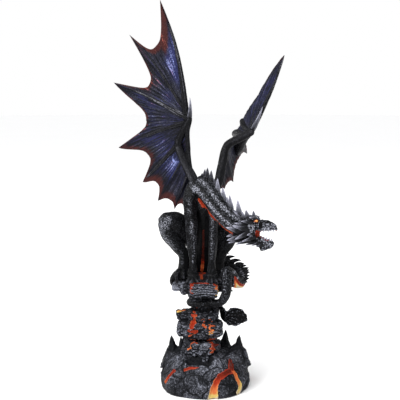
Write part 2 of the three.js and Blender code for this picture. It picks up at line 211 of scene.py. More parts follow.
def pebbles(points, cell, seed):
    """Scattered centres, one in each cube: how far the nearest is, and how much farther the next."""
    centres = np.random.default_rng(seed).uniform(0.08, 0.92, (SCATTER, SCATTER, SCATTER, 3))
    q = points / cell
    low = np.floor(q).astype(int)
    near = np.full(len(q), 9.0)
    after = near.copy()
    for step in np.ndindex(3, 3, 3):
        cube = low + np.array(step) - 1
        i = cube % SCATTER
        far = np.linalg.norm(q - cube - centres[i[:, 0], i[:, 1], i[:, 2]], axis=1)
        after = np.minimum(after, np.maximum(near, far))
        near = np.minimum(near, far)
    return near, after - near


def step_up(x, low, high):
    """0 below low, 1 above high, and an even S between."""
    t = np.clip((x - low) / (high - low), 0, 1)
    return t * t * (3 - 2 * t)


def bell(x, middle, width):
    """A soft ridge: exp(-((x - middle) / width) ** 2)."""
    return np.exp(-((x - middle) / width) ** 2)


def round_turn(count):
    """Angles once round a ring."""
    return np.linspace(0, 2 * np.pi, count, endpoint=False)


def unit(v):
    """The direction of each vector."""
    return v / np.linalg.norm(v, axis=-1, keepdims=True)


def thorn(root, tip, radius, bend=(0, 0, 0), wide=(1, 0, 0), flat=1.0, taper=0.9, sides=12,
          steps=14, ridges=0, depth=0.0, waist=1.0):
    """A thorn: radius * (1 - t) ** taper carried from root to tip on a bowed line, `flat` times as
    thick as it is wide, with ridges cut by 1 + depth * cos(ridges * a). A waist under 1 narrows
    the root to that share, so that the blade is widest a third of the way up."""
    root, tip, bend = (np.asarray(v, float) for v in (root, tip, bend))
    t = np.linspace(0, 1, steps)
    line = root + (tip - root) * t[:, None] + bend * (4 * t * (1 - t))[:, None]
    axis = unit(tip - root)
    across = unit(np.asarray(wide, float) - axis * np.dot(wide, axis))
    thick = np.cross(axis, across)
    a = round_turn(sides)
    belly = waist + (1 - waist) * step_up(t, 0, 0.36)
    r = (radius * belly * (1 - t) ** taper + 0.25)[:, None] * (1 + depth * np.cos(ridges * a))
    return (line[:, None, :] + (r * np.cos(a))[..., None] * across
            + (r * flat * np.sin(a))[..., None] * thick)


def shell(grid):
    """A closed skin from rows of points: each row is a ring, and a fan to its middle closes each
    end. The faces are turned so that the volume inside comes out positive."""
    rows, around, _ = grid.shape
    a = np.arange((rows - 1) * around)
    b = a + 1 - around * (a % around == around - 1)
    quads = np.stack([a, b, b + around, a + around], axis=1)
    points = np.concatenate([grid.reshape(-1, 3), grid[0].mean(axis=0)[None], grid[-1].mean(axis=0)[None]])
    j = np.arange(around)
    k = (j + 1) % around
    last = (rows - 1) * around
    ends = np.concatenate([np.stack([0 * j + last + around, k, j], axis=1),
                           np.stack([0 * j + last + around + 1, last + j, last + k], axis=1)])
    thirds = np.concatenate([quads[:, :3], quads[:, [0, 2, 3]], ends])
    p, q, r = points[thirds].swapaxes(0, 1)
    way = -1 if (p * np.cross(q, r)).sum() < 0 else 1
    return points, quads[:, ::way].tolist() + ends[:, ::way].tolist()


def joined(name, grids):
    """One mesh of several closed shells; gives the mesh and its points in millimetres."""
    points, faces, start = [], [], 0
    for grid in grids:
        p, f = shell(grid)
        faces += [[i + start for i in face] for face in f]
        points.append(p)
        start += len(p)
    points = np.concatenate(points)
    mesh = bpy.data.meshes.new(name)
    mesh.from_pydata((points * MM).tolist(), [], faces)
    return mesh, points


def cast(name, grids, cube, soften):
    """One skin poured over closed shells: joined, remeshed in small cubes and softened."""
    rough_mesh, _ = joined(name + "_shells", grids)
    mould = in_scene(name + "_shells", rough_mesh)
    skin = mould.modifiers.new("skin", "REMESH")
    skin.mode, skin.voxel_size = "VOXEL", cube * MM
    rub = mould.modifiers.new("rub", "SMOOTH")
    rub.factor, rub.iterations = 0.5, soften
    mesh = bpy.data.meshes.new_from_object(mould.evaluated_get(bpy.context.evaluated_depsgraph_get()))
    mesh.name = name
    bpy.data.objects.remove(mould)
    bpy.data.meshes.remove(rough_mesh)
    return mesh


def points_of(mesh):
    """The mesh's points in millimetres and its outward normals."""
    points = np.empty(len(mesh.vertices) * 3, np.float32)
    normals = points.copy()
    mesh.vertices.foreach_get("co", points)
    mesh.vertex_normals.foreach_get("vector", normals)
    return points.reshape(-1, 3).astype(float) / MM, normals.reshape(-1, 3).astype(float)


def set_points(mesh, points):
    """Puts points in millimetres back, held inside the CAD box, with the foot flat on the floor."""
    low, high = np.array(cad_low) / MM, np.array(cad_high) / MM
    held = np.clip(points, low + INSIDE, high - INSIDE)
    held[:, 2] = np.where(points[:, 2] < FLAT_FOOT, 0, held[:, 2])
    mesh.vertices.foreach_set("co", (held * MM).astype(np.float32).ravel())
    mesh.update()


def stand_out(mesh, rounds, height):
    """How far each point stands out of its surroundings: its height along the normal over the skin
    after rounds of moving every point to the mean of its neighbours, in units of `height`."""
    points, normals = points_of(mesh)
    edges = np.empty(len(mesh.edges) * 2, np.int32)
    mesh.edges.foreach_get("vertices", edges)
    a, b = edges[0::2], edges[1::2]
    count = np.bincount(edges, minlength=len(points))[:, None] + 1e-9
    flat = points.copy()
    for _ in range(rounds):
        total = np.stack([np.bincount(a, flat[b, k], len(points))
                          + np.bincount(b, flat[a, k], len(points)) for k in range(3)], axis=1)
        flat = 0.4 * flat + 0.6 * total / count
    return ((points - flat) * normals).sum(axis=1) / height


def stroke(points, normals, route, reach=9.0):
    """A brush stroke along a route of [x, y, z, radius]: 1 on its line to 0 at its edge, and how
    far along it is, 0 to 1. Depth along the normal doesn't count up to `reach`."""
    route = np.asarray(route, float)
    best, place = np.zeros((2, len(points)))
    for k in range(len(route) - 1):
        a, b = route[k, :3], route[k + 1, :3]
        t = np.clip((points - a) @ (b - a) / ((b - a) @ (b - a)), 0, 1)
        off = points - (a + t[:, None] * (b - a))
        depth = (off * normals).sum(axis=1)
        flat = np.sqrt(np.maximum((off**2).sum(axis=1) - depth**2, 0))
        wide = route[k, 3] * (1 - t) + route[k + 1, 3] * t
        inside = np.where(np.abs(depth) < reach, np.clip(1 - flat / wide, 0, 1), 0)
        place = np.where(inside > best, (k + t) / (len(route) - 1), place)
        best = np.maximum(best, inside)
    return best, place


def lava_at(points, normals, routes, reach=9.0, ragged=0.0):
    """Joins lava strokes: how deep in a stream each point is, and how yellow it runs there. A
    route comes with its heat at the start and at the end. `ragged` millimetres of level dashes
    break up its sides."""
    deep, heat = np.zeros((2, len(points)))
    wandering = points + 1.5 * waver(points, 7, 200)
    wandering[:, 0] += ragged * noise(points * [0.2, 0.2, 1], 2.2, 205)
    for cool, hot, route in routes:
        mask, t = stroke(wandering, normals, route, reach)
        heat = np.where(mask > deep, cool + (hot - cool) * t**2.2, heat)
        deep = np.maximum(deep, mask)
    return deep, heat


def piece(name, mesh, finish, cad_node, fields):
    """A finished piece: shaded smooth, its painted fields kept as point attributes, riding on the
    root and standing for its CAD node."""
    made = in_scene(name, mesh)
    mesh.polygons.foreach_set("use_smooth", np.ones(len(mesh.polygons), bool))
    for field, values in fields.items():
        layer = mesh.attributes.new(field, "FLOAT", "POINT")
        layer.data.foreach_set("value", np.asarray(values, np.float32))
    mesh.materials.clear()
    mesh.materials.append(finish)
    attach(made, "root")
    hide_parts(cad_node)


def field_of(tree, name):
    """The socket that reads a painted field."""
    return node(tree, "ShaderNodeAttribute", attribute_name=name).outputs["Fac"]


def plus(tree, *values):
    """The values added up."""
    total = values[0]
    for value in values[1:]:
        total = node(tree, "ShaderNodeMath", {0: total, 1: value}, operation="ADD").outputs[0]
    return total


def times(tree, value, by, more=0.0):
    """value * by + more."""
    return node(tree, "ShaderNodeMath", {0: value, 1: by, 2: more}, operation="MULTIPLY_ADD").outputs[0]


def swing(tree, value, by):
    """A value from 0 to 1 turned into one that swings evenly about 0."""
    return times(tree, value, by, -0.5 * by)


def eased(tree, value, low, high, to_low=0.0, to_high=1.0):
    """A smooth step from low to high."""
    return node(tree, "ShaderNodeMapRange",
                {"Value": value, "From Min": low, "From Max": high, "To Min": to_low, "To Max": to_high},
                interpolation_type="SMOOTHSTEP").outputs[0]


def mixed(tree, amount, first, second):
    """Two colours mixed by an amount: the colour sockets are the mix node's seventh and eighth."""
    return node(tree, "ShaderNodeMix", {0: amount, 6: first, 7: second}, data_type="RGBA").outputs[2]


def group(name, inputs, outputs):
    """A shader node group with named inputs at their first values, and named outputs."""
    made = bpy.data.node_groups.new(name, "ShaderNodeTree")
    for label, value in inputs.items():
        kind = "NodeSocketColor" if isinstance(value, tuple) else "NodeSocketFloat"
        made.interface.new_socket(label, in_out="INPUT", socket_type=kind).default_value = value
    for label in outputs:
        kind = "NodeSocketColor" if label == "Color" else "NodeSocketFloat"
        made.interface.new_socket(label, in_out="OUTPUT", socket_type=kind)
    return made, made.nodes.new("NodeGroupInput").outputs, made.nodes.new("NodeGroupOutput").inputs


def placed(tree, source, values):
    """A group set into a material with its own values."""
    return node(tree, "ShaderNodeGroup", values, node_tree=source).outputs


# Dry brushing: a nearly dry pale brush dragged over a dark undercoat catches only what stands
# out, so paler paint lies on raised places, on the middle of each grain, and in broken streaks.
# The Load input raises or lowers the brushing by each piece's own field, which also carries painted
# highlights and painted shade.
dry_brush, given, gives = group(
    "dry_brush",
    {"Dark": (0.01, 0.01, 0.01, 1), "Middle": (0.06, 0.06, 0.07, 1), "Pale": (0.4, 0.4, 0.45, 1),
     "Raised": 0.0, "Load": 0.0, "Grain": 400.0, "Speckle": 0.5, "Streaks": 0.6},
    ["Color", "Amount", "Height"])
t = dry_brush
cells = node(t, "ShaderNodeTexVoronoi", {"Vector": here(t), "Scale": given["Grain"]})
bead = eased(t, cells.outputs["Distance"], 0.75, 0.12)
streaks = clouds(t, here(t), 360.0, 5.0, 0.7)
broken = plus(t, swing(t, streaks, 1.6), swing(t, clouds(t, here(t), 38.0, 3.0), 0.9))
amount = plus(t, given["Raised"], given["Load"], times(t, plus(t, bead, -0.45), given["Speckle"]),
              times(t, broken, given["Streaks"]))
under = mixed(t, eased(t, amount, -0.35, 0.45), given["Dark"], given["Middle"])
full = times(t, given["Speckle"], plus(t, bead, -1.0), 1.0)
t.links.new(mixed(t, times(t, eased(t, amount, 0.25, 1.0), full), under, given["Pale"]), gives["Color"])
t.links.new(eased(t, amount, 0.2, 1.2), gives["Amount"])
t.links.new(times(t, streaks, 0.7, bead), gives["Height"])

# Painted lava: brown where it dies out, red in the stream, orange along its margins, and yellow
# where it runs hottest, brushed along in streaks.
molten, given, gives = group("molten", {"Deep": 0.0, "Heat": 0.0}, ["Color", "Mask"])
t = molten
drawn = node(t, "ShaderNodeMapping", {"Vector": here(t), "Scale": (1, 1, 0.45)}).outputs[0]
wander = swing(t, clouds(t, drawn, 330.0, 4.0, 0.65), 0.9)
margin = eased(t, times(t, wander, 0.35, given["Deep"]), 0.5, 0.08)
warmth = plus(t, given["Heat"], wander, times(t, margin, 0.42))
colour = (0.012, 0.005, 0.004, 1)
for cool, warm, paint in [
    [-0.9, -0.3, (0.07, 0.009, 0.005, 1)], [-0.4, 0.3, (0.29, 0.025, 0.009, 1)],
    [0.2, 0.9, (0.56, 0.15, 0.045, 1)], [0.9, 1.35, (0.6, 0.44, 0.13, 1)], [1.5, 2.0, (0.5, 0.43, 0.33, 1)],
]:
    colour = mixed(t, eased(t, warmth, cool, warm), colour, paint)
t.links.new(colour, gives["Color"])
frayed = times(t, wander, eased(t, given["Deep"], 0.0, 0.05, 0.0, 0.3), given["Deep"])
t.links.new(eased(t, frayed, 0.02, 0.13), gives["Mask"])


def satin(tree, colour, rough, height, strength, distance, specular=0.05, coat=0.02):
    """Satin lacquer over painted relief; the bump's distance is in metres."""
    bump = node(tree, "ShaderNodeBump", {"Height": height, "Strength": strength, "Distance": distance})
    surface(tree, {
        "Base Color": colour, "Roughness": rough, "Normal": bump.outputs[0], "Specular IOR Level": specular,
        "Coat Weight": coat, "Coat Roughness": 0.2})


def brushed_with_lava(name, dark, middle, pale, grain, speckle, streaks):
    """A material dry-brushed by its painted fields, with lava laid over that: gives the material,
    its tree, the dry brushing's outputs, the lava's mask and the colour."""
    made, tree = material(name)
    brushed = placed(tree, dry_brush, {
        "Dark": dark, "Middle": middle, "Pale": pale, "Raised": field_of(tree, "raised"),
        "Load": field_of(tree, "load_and_painted_light"), "Grain": grain, "Speckle": speckle, "Streaks": streaks})
    lava = placed(tree, molten, {"Deep": field_of(tree, "lava"), "Heat": field_of(tree, "warmth")})
    return made, tree, brushed, lava["Mask"], mixed(tree, lava["Mask"], brushed["Color"], lava["Color"])


# Dry-brushed stone, glossier and smoother where lava is painted into its channels.
mound_paint, tree, brushed, mask, colour = brushed_with_lava(
    "mound_paint", (0.0065, 0.007, 0.0085, 1), (0.05, 0.052, 0.063, 1), (0.32, 0.335, 0.4, 1),
    640.0, 0.6, 0.6)
satin(tree, colour, times(tree, mask, -0.08, eased(tree, brushed["Amount"], 0, 1, 0.42, 0.6)),
      times(tree, brushed["Height"], eased(tree, mask, 0, 1, 1.0, 0.35)), 0.7, 0.0007, coat=0.01)

levels = np.array([[0, 0.975], [9, 1.0], [24, 0.99], [38, 0.93], [50, 0.82], [59, 0.67], [MOUND_TOP, 0.45]])
z = np.linspace(0, MOUND_TOP, 30)[:, None]
scale = np.interp(z, levels[:, 0], levels[:, 1])
turn = round_turn(180)[None, :]
SQUARE = 2.35                 # 2 would be round
corner = (np.abs(np.cos(turn)) ** SQUARE + np.abs(np.sin(turn)) ** SQUARE) ** (-1 / SQUARE)
lobes = 0.02 * np.cos(5 * turn + 0.6) + 0.012 * np.cos(9 * turn + 2)
r = BASE_RADIUS * scale * corner * (1 + lobes * (0.6 + z / 60))
heap = np.stack([1.5 + r * np.cos(turn), r * np.sin(turn), z + 0 * r], axis=-1)
NEEDLE_ROOT = 34              # height at which the needles start inside the heap
needles = [               # root x, y, tip x, y, height of the tip, radius at the root
    [-53, -3, -57, 0, 88, 26], [-39, -8, -40, -10, 90, 17], [34, 18, 39, 20, 93, 22],
    [57, 2, 62, 0, 89, 26], [-30, 42, -34, 46, 81, 22], [6, 50, 8, 54, 79, 22],
]
mound = cast("rock_mound", [heap, *[
    thorn([x, y, NEEDLE_ROOT], [tx, ty, top], wide, ridges=5, depth=0.08, taper=0.98, sides=30, steps=24)
    for x, y, tx, ty, top, wide in needles]], 1.15, 2)
points, normals = points_of(mound)
mound_streams = [         # heat at the start, heat at the end, [x, y, z, half width] down the stream
    [-0.1, 0.5, [[-51, -52, 42, 1.8], [-58, -51, 31, 2.6], [-66, -44, 18, 2.8]]],
    [0.0, 0.1, [[-33, -58, 46, 2.8], [-22, -59, 50, 2.6], [-12, -60, 52, 1.2]]],
    [-0.45, -0.1, [[45, -36, 57, 3.0], [46.5, -45, 50.5, 5.4], [46, -54, 43, 6.6]]],
    [-0.3, 1.75, [[46, -54, 43, 5.4], [37, -61.5, 42, 5.0], [25, -70, 36.5, 5.6],
                  [18.3, -75, 26, 6.4], [15, -77.6, 11, 8.0], [15, -78, 0, 9.5]]],
    [0.55, 1.7, [[46, -54, 43, 3.0], [51, -53, 39, 3.4], [56, -54, 27, 4.2],
                 [60, -53, 15.5, 5.4], [59, -56, 5, 6.4]]],
    [0.0, 1.1, [[20, 48, 58, 3.0], [30, 62, 44, 4.0], [26, 72, 24, 5.0], [31, 73, 0, 7.5]]],
    [0.1, 1.0, [[-36, 44, 56, 3.0], [-50, 54, 38, 4.0], [-52, 60, 14, 4.8]]],
    [0.1, 0.9, [[66, 18, 52, 2.6], [74, 16, 34, 3.6], [78, 20, 12, 4.4]]],
]
deep, heat = lava_at(points, normals, mound_streams)
warped = points + 6 * waver(points, 19, 3)
near, gap = pebbles(warped, 38, 8)
small_near, _ = pebbles(warped, 12, 21)
crag = (3.8 * (0.5 - near) - 0.9 * bell(gap, 0, 0.05) + 0.6 * (0.5 - small_near)
        + 1.5 * creased(warped * [1, 1, 0.7], 18, 31) + 0.5 * rubble(points, 3.6, 35, 2) - 1.1)
crag *= ((1 - step_up(deep, 0, 0.25)) * (0.25 + 0.75 * step_up(points[:, 2], 1, 8))
         * (1 - 0.9 * step_up(points[:, 2], 70, 84)))
bank = 0.9 * bell(deep, 0.06, 0.06) * (deep > 0)
# A hollow under the step, carved in and darkened by painted shade with a ragged edge.
cavity, _ = stroke(points, normals, [[-24, -44, 60, 12], [6, -48, 59, 14]], 18)
shade = step_up(cavity, 0, 0.2) * step_up(cavity - 0.6 * rubble(points, 9, 6, 2), 0, 0.7)
carved = 4.5 * step_up(cavity, 0, 0.7) + 1.9 * step_up(deep, 0.1, 0.6)
points = points + normals * (crag + bank - carved)[:, None]
set_points(mound, points)
x, _, z = points.T
piece("rock_mound", mound, mound_paint, "lava_rock_plinth", {
    "raised": 0.65 * np.clip(stand_out(mound, 6, 0.7), -1, 1),
    "load_and_painted_light": (0.1 - 0.7 * step_up(z, 56, 72) - 2.6 * shade + 0.28 * noise(points, 26, 5)
             + 0.21 * step_up(near, 0.75, 0.25) - 0.3 * bell(gap, 0, 0.1)
             - 0.2 * step_up(x, 20, 50) - 0.3 * step_up(-x, 30, 55)),
    "lava": deep, "warmth": heat})

# ---- the stacked pillar -------------------------------------------------------------------------
# Broken slabs piled from the mound to the ledge where the dragon sits, narrow at the neck that the
# tail winds round. Lava is painted down the joints and round the rim of the ledge.
LEDGE_TOP = 193
CHUNK_TOP = 189               # the lower stone left of the ledge
LEDGE_EDGE = -35.9            # x where the ledge ends and that stone begins
BED = 4.8                     # from one bed of the ledge's stone to the next


def smooth_line(knots, steps):
    """A centripetal spline through the knots: each span is a cubic whose slopes at its ends come
    from the knots around it. Gives the points, their directions, and the place in spans."""
    knots = np.asarray(knots, float)
    ends = np.concatenate([[2 * knots[0] - knots[1]], knots, [2 * knots[-1] - knots[-2]]])
    gaps = np.linalg.norm(np.diff(ends, axis=0), axis=1)[:, None] ** 0.5 + 1e-9
    slope = np.diff(ends, axis=0) / gaps
    wide = (ends[2:] - ends[:-2]) / (gaps[1:] + gaps[:-1])
    start = (slope[:-2] - wide[:-1] + slope[1:-1]) * gaps[1:-1]
    finish = (slope[1:-1] - wide[1:] + slope[2:]) * gaps[1:-1]
    s = np.linspace(0, len(knots) - 1, (len(knots) - 1) * steps + 1)
    i = np.minimum(s.astype(int), len(knots) - 2)
    t = (s - i)[:, None]
    p, q, u, v = knots[i], knots[i + 1], start[i], finish[i]
    bow = 3 * (q - p) - 2 * u - v
    snap = 2 * (p - q) + u + v
    return p + u * t + bow * t**2 + snap * t**3, unit(u + 2 * bow * t + 3 * snap * t**2), s


def limb(stations, up=(0, 0, 1), sides=24, steps=8, profile=None):
    """An oval carried along a smooth line. A station is [x, y, z, half width, half height]; the
    ring at place t and angle a is centre + side * width * cos a + crown * height * sin a, both
    times profile(t, a) where one is given."""
    table = np.array([[*row[:4], row[-1]] for row in stations], float)
    centre, along, s = smooth_line(table[:, :3], steps)
    i = np.minimum(s.astype(int), len(table) - 2)
    f = (s - i)[:, None]
    ease = f * f * (3 - 2 * f)
    size = table[i, 3:] * (1 - ease) + table[i + 1, 3:] * ease
    side = unit(np.cross(along, up))
    crown = np.cross(side, along)
    a = round_turn(sides)
    swell = np.ones((len(s), sides)) if profile is None else profile(s[:, None], a[None, :])
    across = (size[:, :1] * np.cos(a) * swell)[..., None] * side[:, None, :]
    upward = (size[:, 1:] * np.sin(a) * swell)[..., None] * crown[:, None, :]
    return centre[:, None, :] + across + upward


def boulder(centre, half, square, seed, broken=0.08, rings=28):
    """A squared ball: each coordinate of a ball's point, from -1 to 1, is raised to the power
    `square` with its sign kept, roughened, and times the half size."""
    lat = np.linspace(0.02, np.pi - 0.02, rings)[:, None]
    lon = round_turn(rings * 2)[None, :]
    ball = np.stack([np.sin(lat) * np.cos(lon), np.sin(lat) * np.sin(lon), np.cos(lat) + 0 * lon], axis=-1)
    rough = rubble(ball.reshape(-1, 3) + seed, 0.9, seed, 2).reshape(rings, -1, 1)
    squared = np.sign(ball) * np.abs(ball) ** square
    return np.asarray(centre) + np.asarray(half) * squared * (1 + broken * rough)


pillar = cast("rock_pillar", [
    limb([[-4, 0, 118, 13.6], [-4, 0, 172, 13.6]], up=(0, 1, 0), steps=14, sides=40),
    *[boulder(*row) for row in [
        [[-4, -2, 66], [35, 33, 20], 0.7, 1], [[-3, -26, 72], [21, 15, 11.5], 0.5, 2],
        [[2, -40, 56], [6, 9, 9], 0.6, 4], [[-6, -2, 102], [39, 32, 17], 0.5, 5],
        [[-28, -12, 104], [19.5, 18, 14], 0.5, 6], [[15, -12, 104], [18.5, 20, 13], 0.5, 7],
        [[-37, 0, 126], [12, 13, 9], 0.5, 8], [[-1, 0, 126], [28, 21, 10.5], 0.5, 9],
        [[-4, 0, 160], [24, 22, 10], 0.6, 14], [[14, -22, 168], [9.5, 13, 6.5], 0.45, 15],
        [[26, -8, 177], [10, 10, 9.5], 0.5, 16], [[-29, 16, 176], [14, 22, 13.5], 0.5, 17],
        [[-1, -8, 178.5], [25.5, 28.5, 14.6], 0.36, 10, 0.05],
        [[2, 16, 178.5], [32.5, 27.5, 14.6], 0.4, 11, 0.05],
        [[-30, 2, 175], [13, 20, 13], 0.5, 12], [[-47, -6, 178.4], [8.5, 9, 10.8], 0.55, 13],
    ]]], 1.0, 2)
points, normals = points_of(pillar)
pillar_streams = [
    [0.1, 0.0, [[-24.5, -35, 171, 1.8], [-24.5, -34, 186, 2.6], [-17, -36, 191, 2.1], [-7, -36.5, 193, 2.0],
                [5, -36.5, 192, 1.7]]],
    [0.1, 1.5, [[14, -36, 189, 1.5], [19, -35, 187, 2.3], [22, -34, 183, 1.9], [22, -31, 169, 1.7]]],
    [0.1, 0.3, [[-3.5, 26, 193, 3.0], [-3.6, -16, 193, 2.6]]],
    [0.2, 0.1, [[-19, -14, 138, 3.0], [-19.5, -24, 129, 4.2]]],
    [0.15, 0.05, [[-20, -26, 121, 5.2], [-22, -33, 107, 5.0]]],
    [0.0, 0.2, [[-19, -33, 104, 4.6], [-21, -33, 98, 3.2]]],
    [0.0, 0.2, [[-20, -30, 93, 3.0], [-16, -29, 87, 3.4]]],
    [0.3, 0.7, [[-17, -27, 84, 2.6], [-23, -30, 79.5, 3.2], [-26, -32, 72, 3.0]]],
    [0.4, 0.5, [[-1, -27, 121, 1.4], [1.5, -30, 116, 2.6], [0, -32, 111, 1.4]]],
    [0.3, 1.5, [[10.5, -27, 121, 1.8], [12, -32, 113, 2.8], [12, -34, 100, 1.4]]],
    [0.1, 0.35, [[12, -27, 84, 6.2], [14, -33, 78, 6.4], [16, -34, 71, 3.6]]],
    [-0.3, -0.6, [[18, -30, 79, 3.2], [30, -16, 80, 2.8], [34, -12, 74, 2.6]]],
    [1.0, 0.6, [[-47, -8, 133, 3.0], [-33, -6, 136, 2.2]]],
    [0.2, 0.8, [[6, 32, 118, 4.2], [2, 33, 100, 5.0], [4, 33, 84, 4.6]]],
    [0.2, 0.9, [[8, 43, 188, 3.0], [20, 42, 176, 3.4], [18, 40, 166, 3.0]]],
]
x, _, z = points.T
deep, heat = lava_at(points, normals, pillar_streams, 10, 6.0)
dashes = noise(points * [0.12, 0.12, 1], 2.6, 207)
deep = deep * np.where((z > 84) & (z < 140), step_up(dashes, -0.32, -0.12), 1)
flat_top = step_up(normals[:, 2], 0.75, 0.95) * step_up(z, 183, 187)
warped = points * [1, 1, 1.6] + 3.5 * waver(points, 12, 3)
near, gap = pebbles(warped, 21, 40)
small_near, _ = pebbles(warped, 8, 44)
crag = (3.2 * (0.5 - near) - 1.2 * bell(gap, 0, 0.06) + 0.8 * (0.5 - small_near)
        + 1.1 * creased(warped, 10, 52) + 0.9 * rubble(points * [0.6, 0.6, 1.5], 3.2, 57, 2))
beds = np.sin(2 * np.pi * (z + 4.6 * rubble(points * [0.6, 0.6, 1], 17, 60)) / BED)
bedded = step_up(z, 158, 163) * step_up(x, -32, -26)
crag = crag * (1 - 0.3 * bedded) + 0.5 * beds * bedded
crag = (crag - 0.8) * (1 - step_up(deep, 0, 0.25)) * (1 - 0.7 * flat_top)
bank = 0.6 * bell(deep, 0.06, 0.06) * (deep > 0)
points = points + normals * (crag + bank - 1.2 * step_up(deep, 0.1, 0.6) * (1 - flat_top))[:, None]
top = np.where(points[:, 0] > LEDGE_EDGE, LEDGE_TOP, CHUNK_TOP)
points[:, 2] = np.where(points[:, 2] > 160, np.minimum(points[:, 2], top), points[:, 2])
set_points(pillar, points)
# Dark cracks and beds, and painted shade round the narrow neck of the pillar under the ledge.
load_and_painted_light = (-0.07 - 0.5 * bell(gap, 0, 0.1) * (1 - bedded) + 0.12 * beds * bedded
        - 0.4 * bell(points[:, 2], 148, 13) + 0.15 * noise(points, 20, 15))
# Painted highlights, paler brushing, on the front of the ledge, the lower stone, the left block and the step.
for weight, reach, route in [    # the front of the ledge, the lower stone, the left block, the step
    [0.3, 9, [[-20, -36, 177, 11], [0, -37, 178, 13], [20, -35, 177, 11]]],
    [1.0, 12, [[-50, -12, 180, 14], [-44, -14, 178, 14]]],
    [0.2, 12, [[-40, -26, 106, 16], [-30, -30, 104, 14]]],
    [0.4, 12, [[-18, -40, 72, 11], [12, -40, 74, 11]]],
]:
    load_and_painted_light += weight * step_up(stroke(points, normals, route, reach)[0], 0, 0.6)
piece("rock_pillar", pillar, mound_paint, "lava_rock_plinth", {
    "raised": 0.75 * np.clip(stand_out(pillar, 6, 0.7), -1, 1), "load_and_painted_light": load_and_painted_light, "lava": deep, "warmth": heat})

# ---- the dragon's trunk, neck and legs ----------------------------------------------------------
# One casting that sits on the ledge: haunches drawn up, forelegs straight down to the front edge,
# the neck bent low. Modelled with corded muscle and pebbled hide, painted black and dry-brushed.
GAP = 0.3                     # between the casting and the ledge
CHUNK_FRONT, CHUNK_SIDE = -15.2, -51     # y and x where the top of the lower stone ends
PLATE = 6.5                   # from one throat plate to the next


def hide_paint(name, dark, middle, pale, grain, speckle):
    """Dry-brushed scales, with glowing paint in the seams of throat and belly."""
    made, tree, brushed, _, colour = brushed_with_lava(name, dark, middle, pale, grain, speckle, 0.36)
    satin(tree, colour, eased(tree, brushed["Amount"], 0, 1, 0.36, 0.55), brushed["Height"], 0.65, 0.0006)
    return made


dragon_hide = hide_paint("dragon_hide", (0.003, 0.0031, 0.0036, 1), (0.046, 0.048, 0.056, 1),
                         (0.4, 0.41, 0.48, 1), 470.0, 0.95)


def cords(count, depth, twist=0.0):
    """Muscle cords: the ring swells by depth * cos(count * a + twist * t)."""
    return lambda t, a: 1 + depth * np.cos(count * a + twist * t)


neck_line = [[-9, 8, 352, 14, 17.5], [-4, 0, 348, 18, 21], [7, -11, 339, 17, 19.5],
             [19, -24, 324, 15.5, 18.5], [32, -35, 309, 14.5, 17.5], [45, -43, 297, 13.5, 17.5],
             [58, -49, 289, 12, 17]]
limbs = [
    limb([[0, 10, 364, 9, 9], [0, 8, 346, 21, 20], [0, 8, 322, 25, 23], [2, 14, 292, 24, 24],
          [2, 26, 258, 26, 24], [1, 37, 230, 33, 22], [0, 42, 208, 36, 19], [0, 44, 188, 32, 15]],
         up=(0, 1, 0), sides=64, profile=lambda t, a: 1 + 0.03 * np.cos(7 * a) + 0.02 * np.cos(9 * t)),
    limb(neck_line, sides=64, profile=cords(4, 0.035, 0.3)),
]
for up, profile, stations in [     # right and left foreleg, right thigh and shin, left thigh and shin
    [0, cords(5, 0.07, 0.25), [
        [-8, 4, 357, 9], [-17, 0, 348, 13.5], [-22.5, -5, 332, 13.5], [-23.5, -13, 309, 11],
        [-21.5, -20, 287, 10.6], [-21, -25, 264, 9.2], [-20, -28, 242, 7], [-19, -29, 226, 5.4],
        [-19, -32, 208, 8]]],
    [0, cords(5, 0.07, -0.25), [
        [10, -2, 346, 13], [14, -8, 332, 12], [15, -15, 312, 9], [15, -20, 290, 7.8],
        [15, -25, 262, 7.6], [14, -28, 242, 7], [13, -29, 226, 6], [13, -32, 208, 8]]],
    [0.4, None, [[-6, 42, 244, 20], [-32, 24, 268, 23], [-50, 8, 284, 21], [-64, -2, 289, 16.5],
                 [-73, -6.5, 287.5, 10.5], [-77, -8, 286, 2]]],
    [0, cords(4, 0.05, 0.4), [[-66, -6, 290, 13], [-60, -2, 269, 14], [-46, 4, 247, 12],
                              [-35.5, 8, 228, 9], [-35, 6, 213, 9.5], [-37, 2, 200, 10]]],
    [0.4, None, [[10, 44, 246, 20], [30, 26, 260, 20], [46, 6, 270, 14]]],
    [0, cords(4, 0.05, 0.4), [[47, 5, 271, 12], [41, 8, 252, 12], [31, 12, 232, 9], [27, 12, 214, 7.5],
                              [26, 8, 200, 8]]],
]:
    limbs.append(limb(stations, up=(0, 1, up), sides=48, profile=profile))
feet = [                  # wrist, tips of the toes, radius of a toe, radius of a claw
    [[-19, -31, 206], [[-27, -41, 195.5], [-20, -44, 195.5], [-12, -43, 195.5], [-9, -34, 195.5]], 4.6, 2.3],
    [[13, -31, 206], [[6, -42, 195.5], [13, -44, 195.5], [20, -42, 195.5], [25, -36, 195.5]], 4.6, 2.3],
    [[25, 8, 202], [[28, -6, 195.5], [21, -8, 195.5]], 5, 2.6],
]
for wrist, tips, radius, _ in feet:
    for tip in tips:
        reach = np.subtract(tip, wrist)
        limbs.append(limb([[*wrist, radius], [*(wrist + reach * [0.55, 0.55, 0.35]), radius * 0.95],
                           [*(wrist + reach * 0.82), radius * 0.62], [*tip, 1.5]],
                          sides=18, profile=lambda t, a: 1 + 0.1 * np.cos(2 * np.pi * t)))
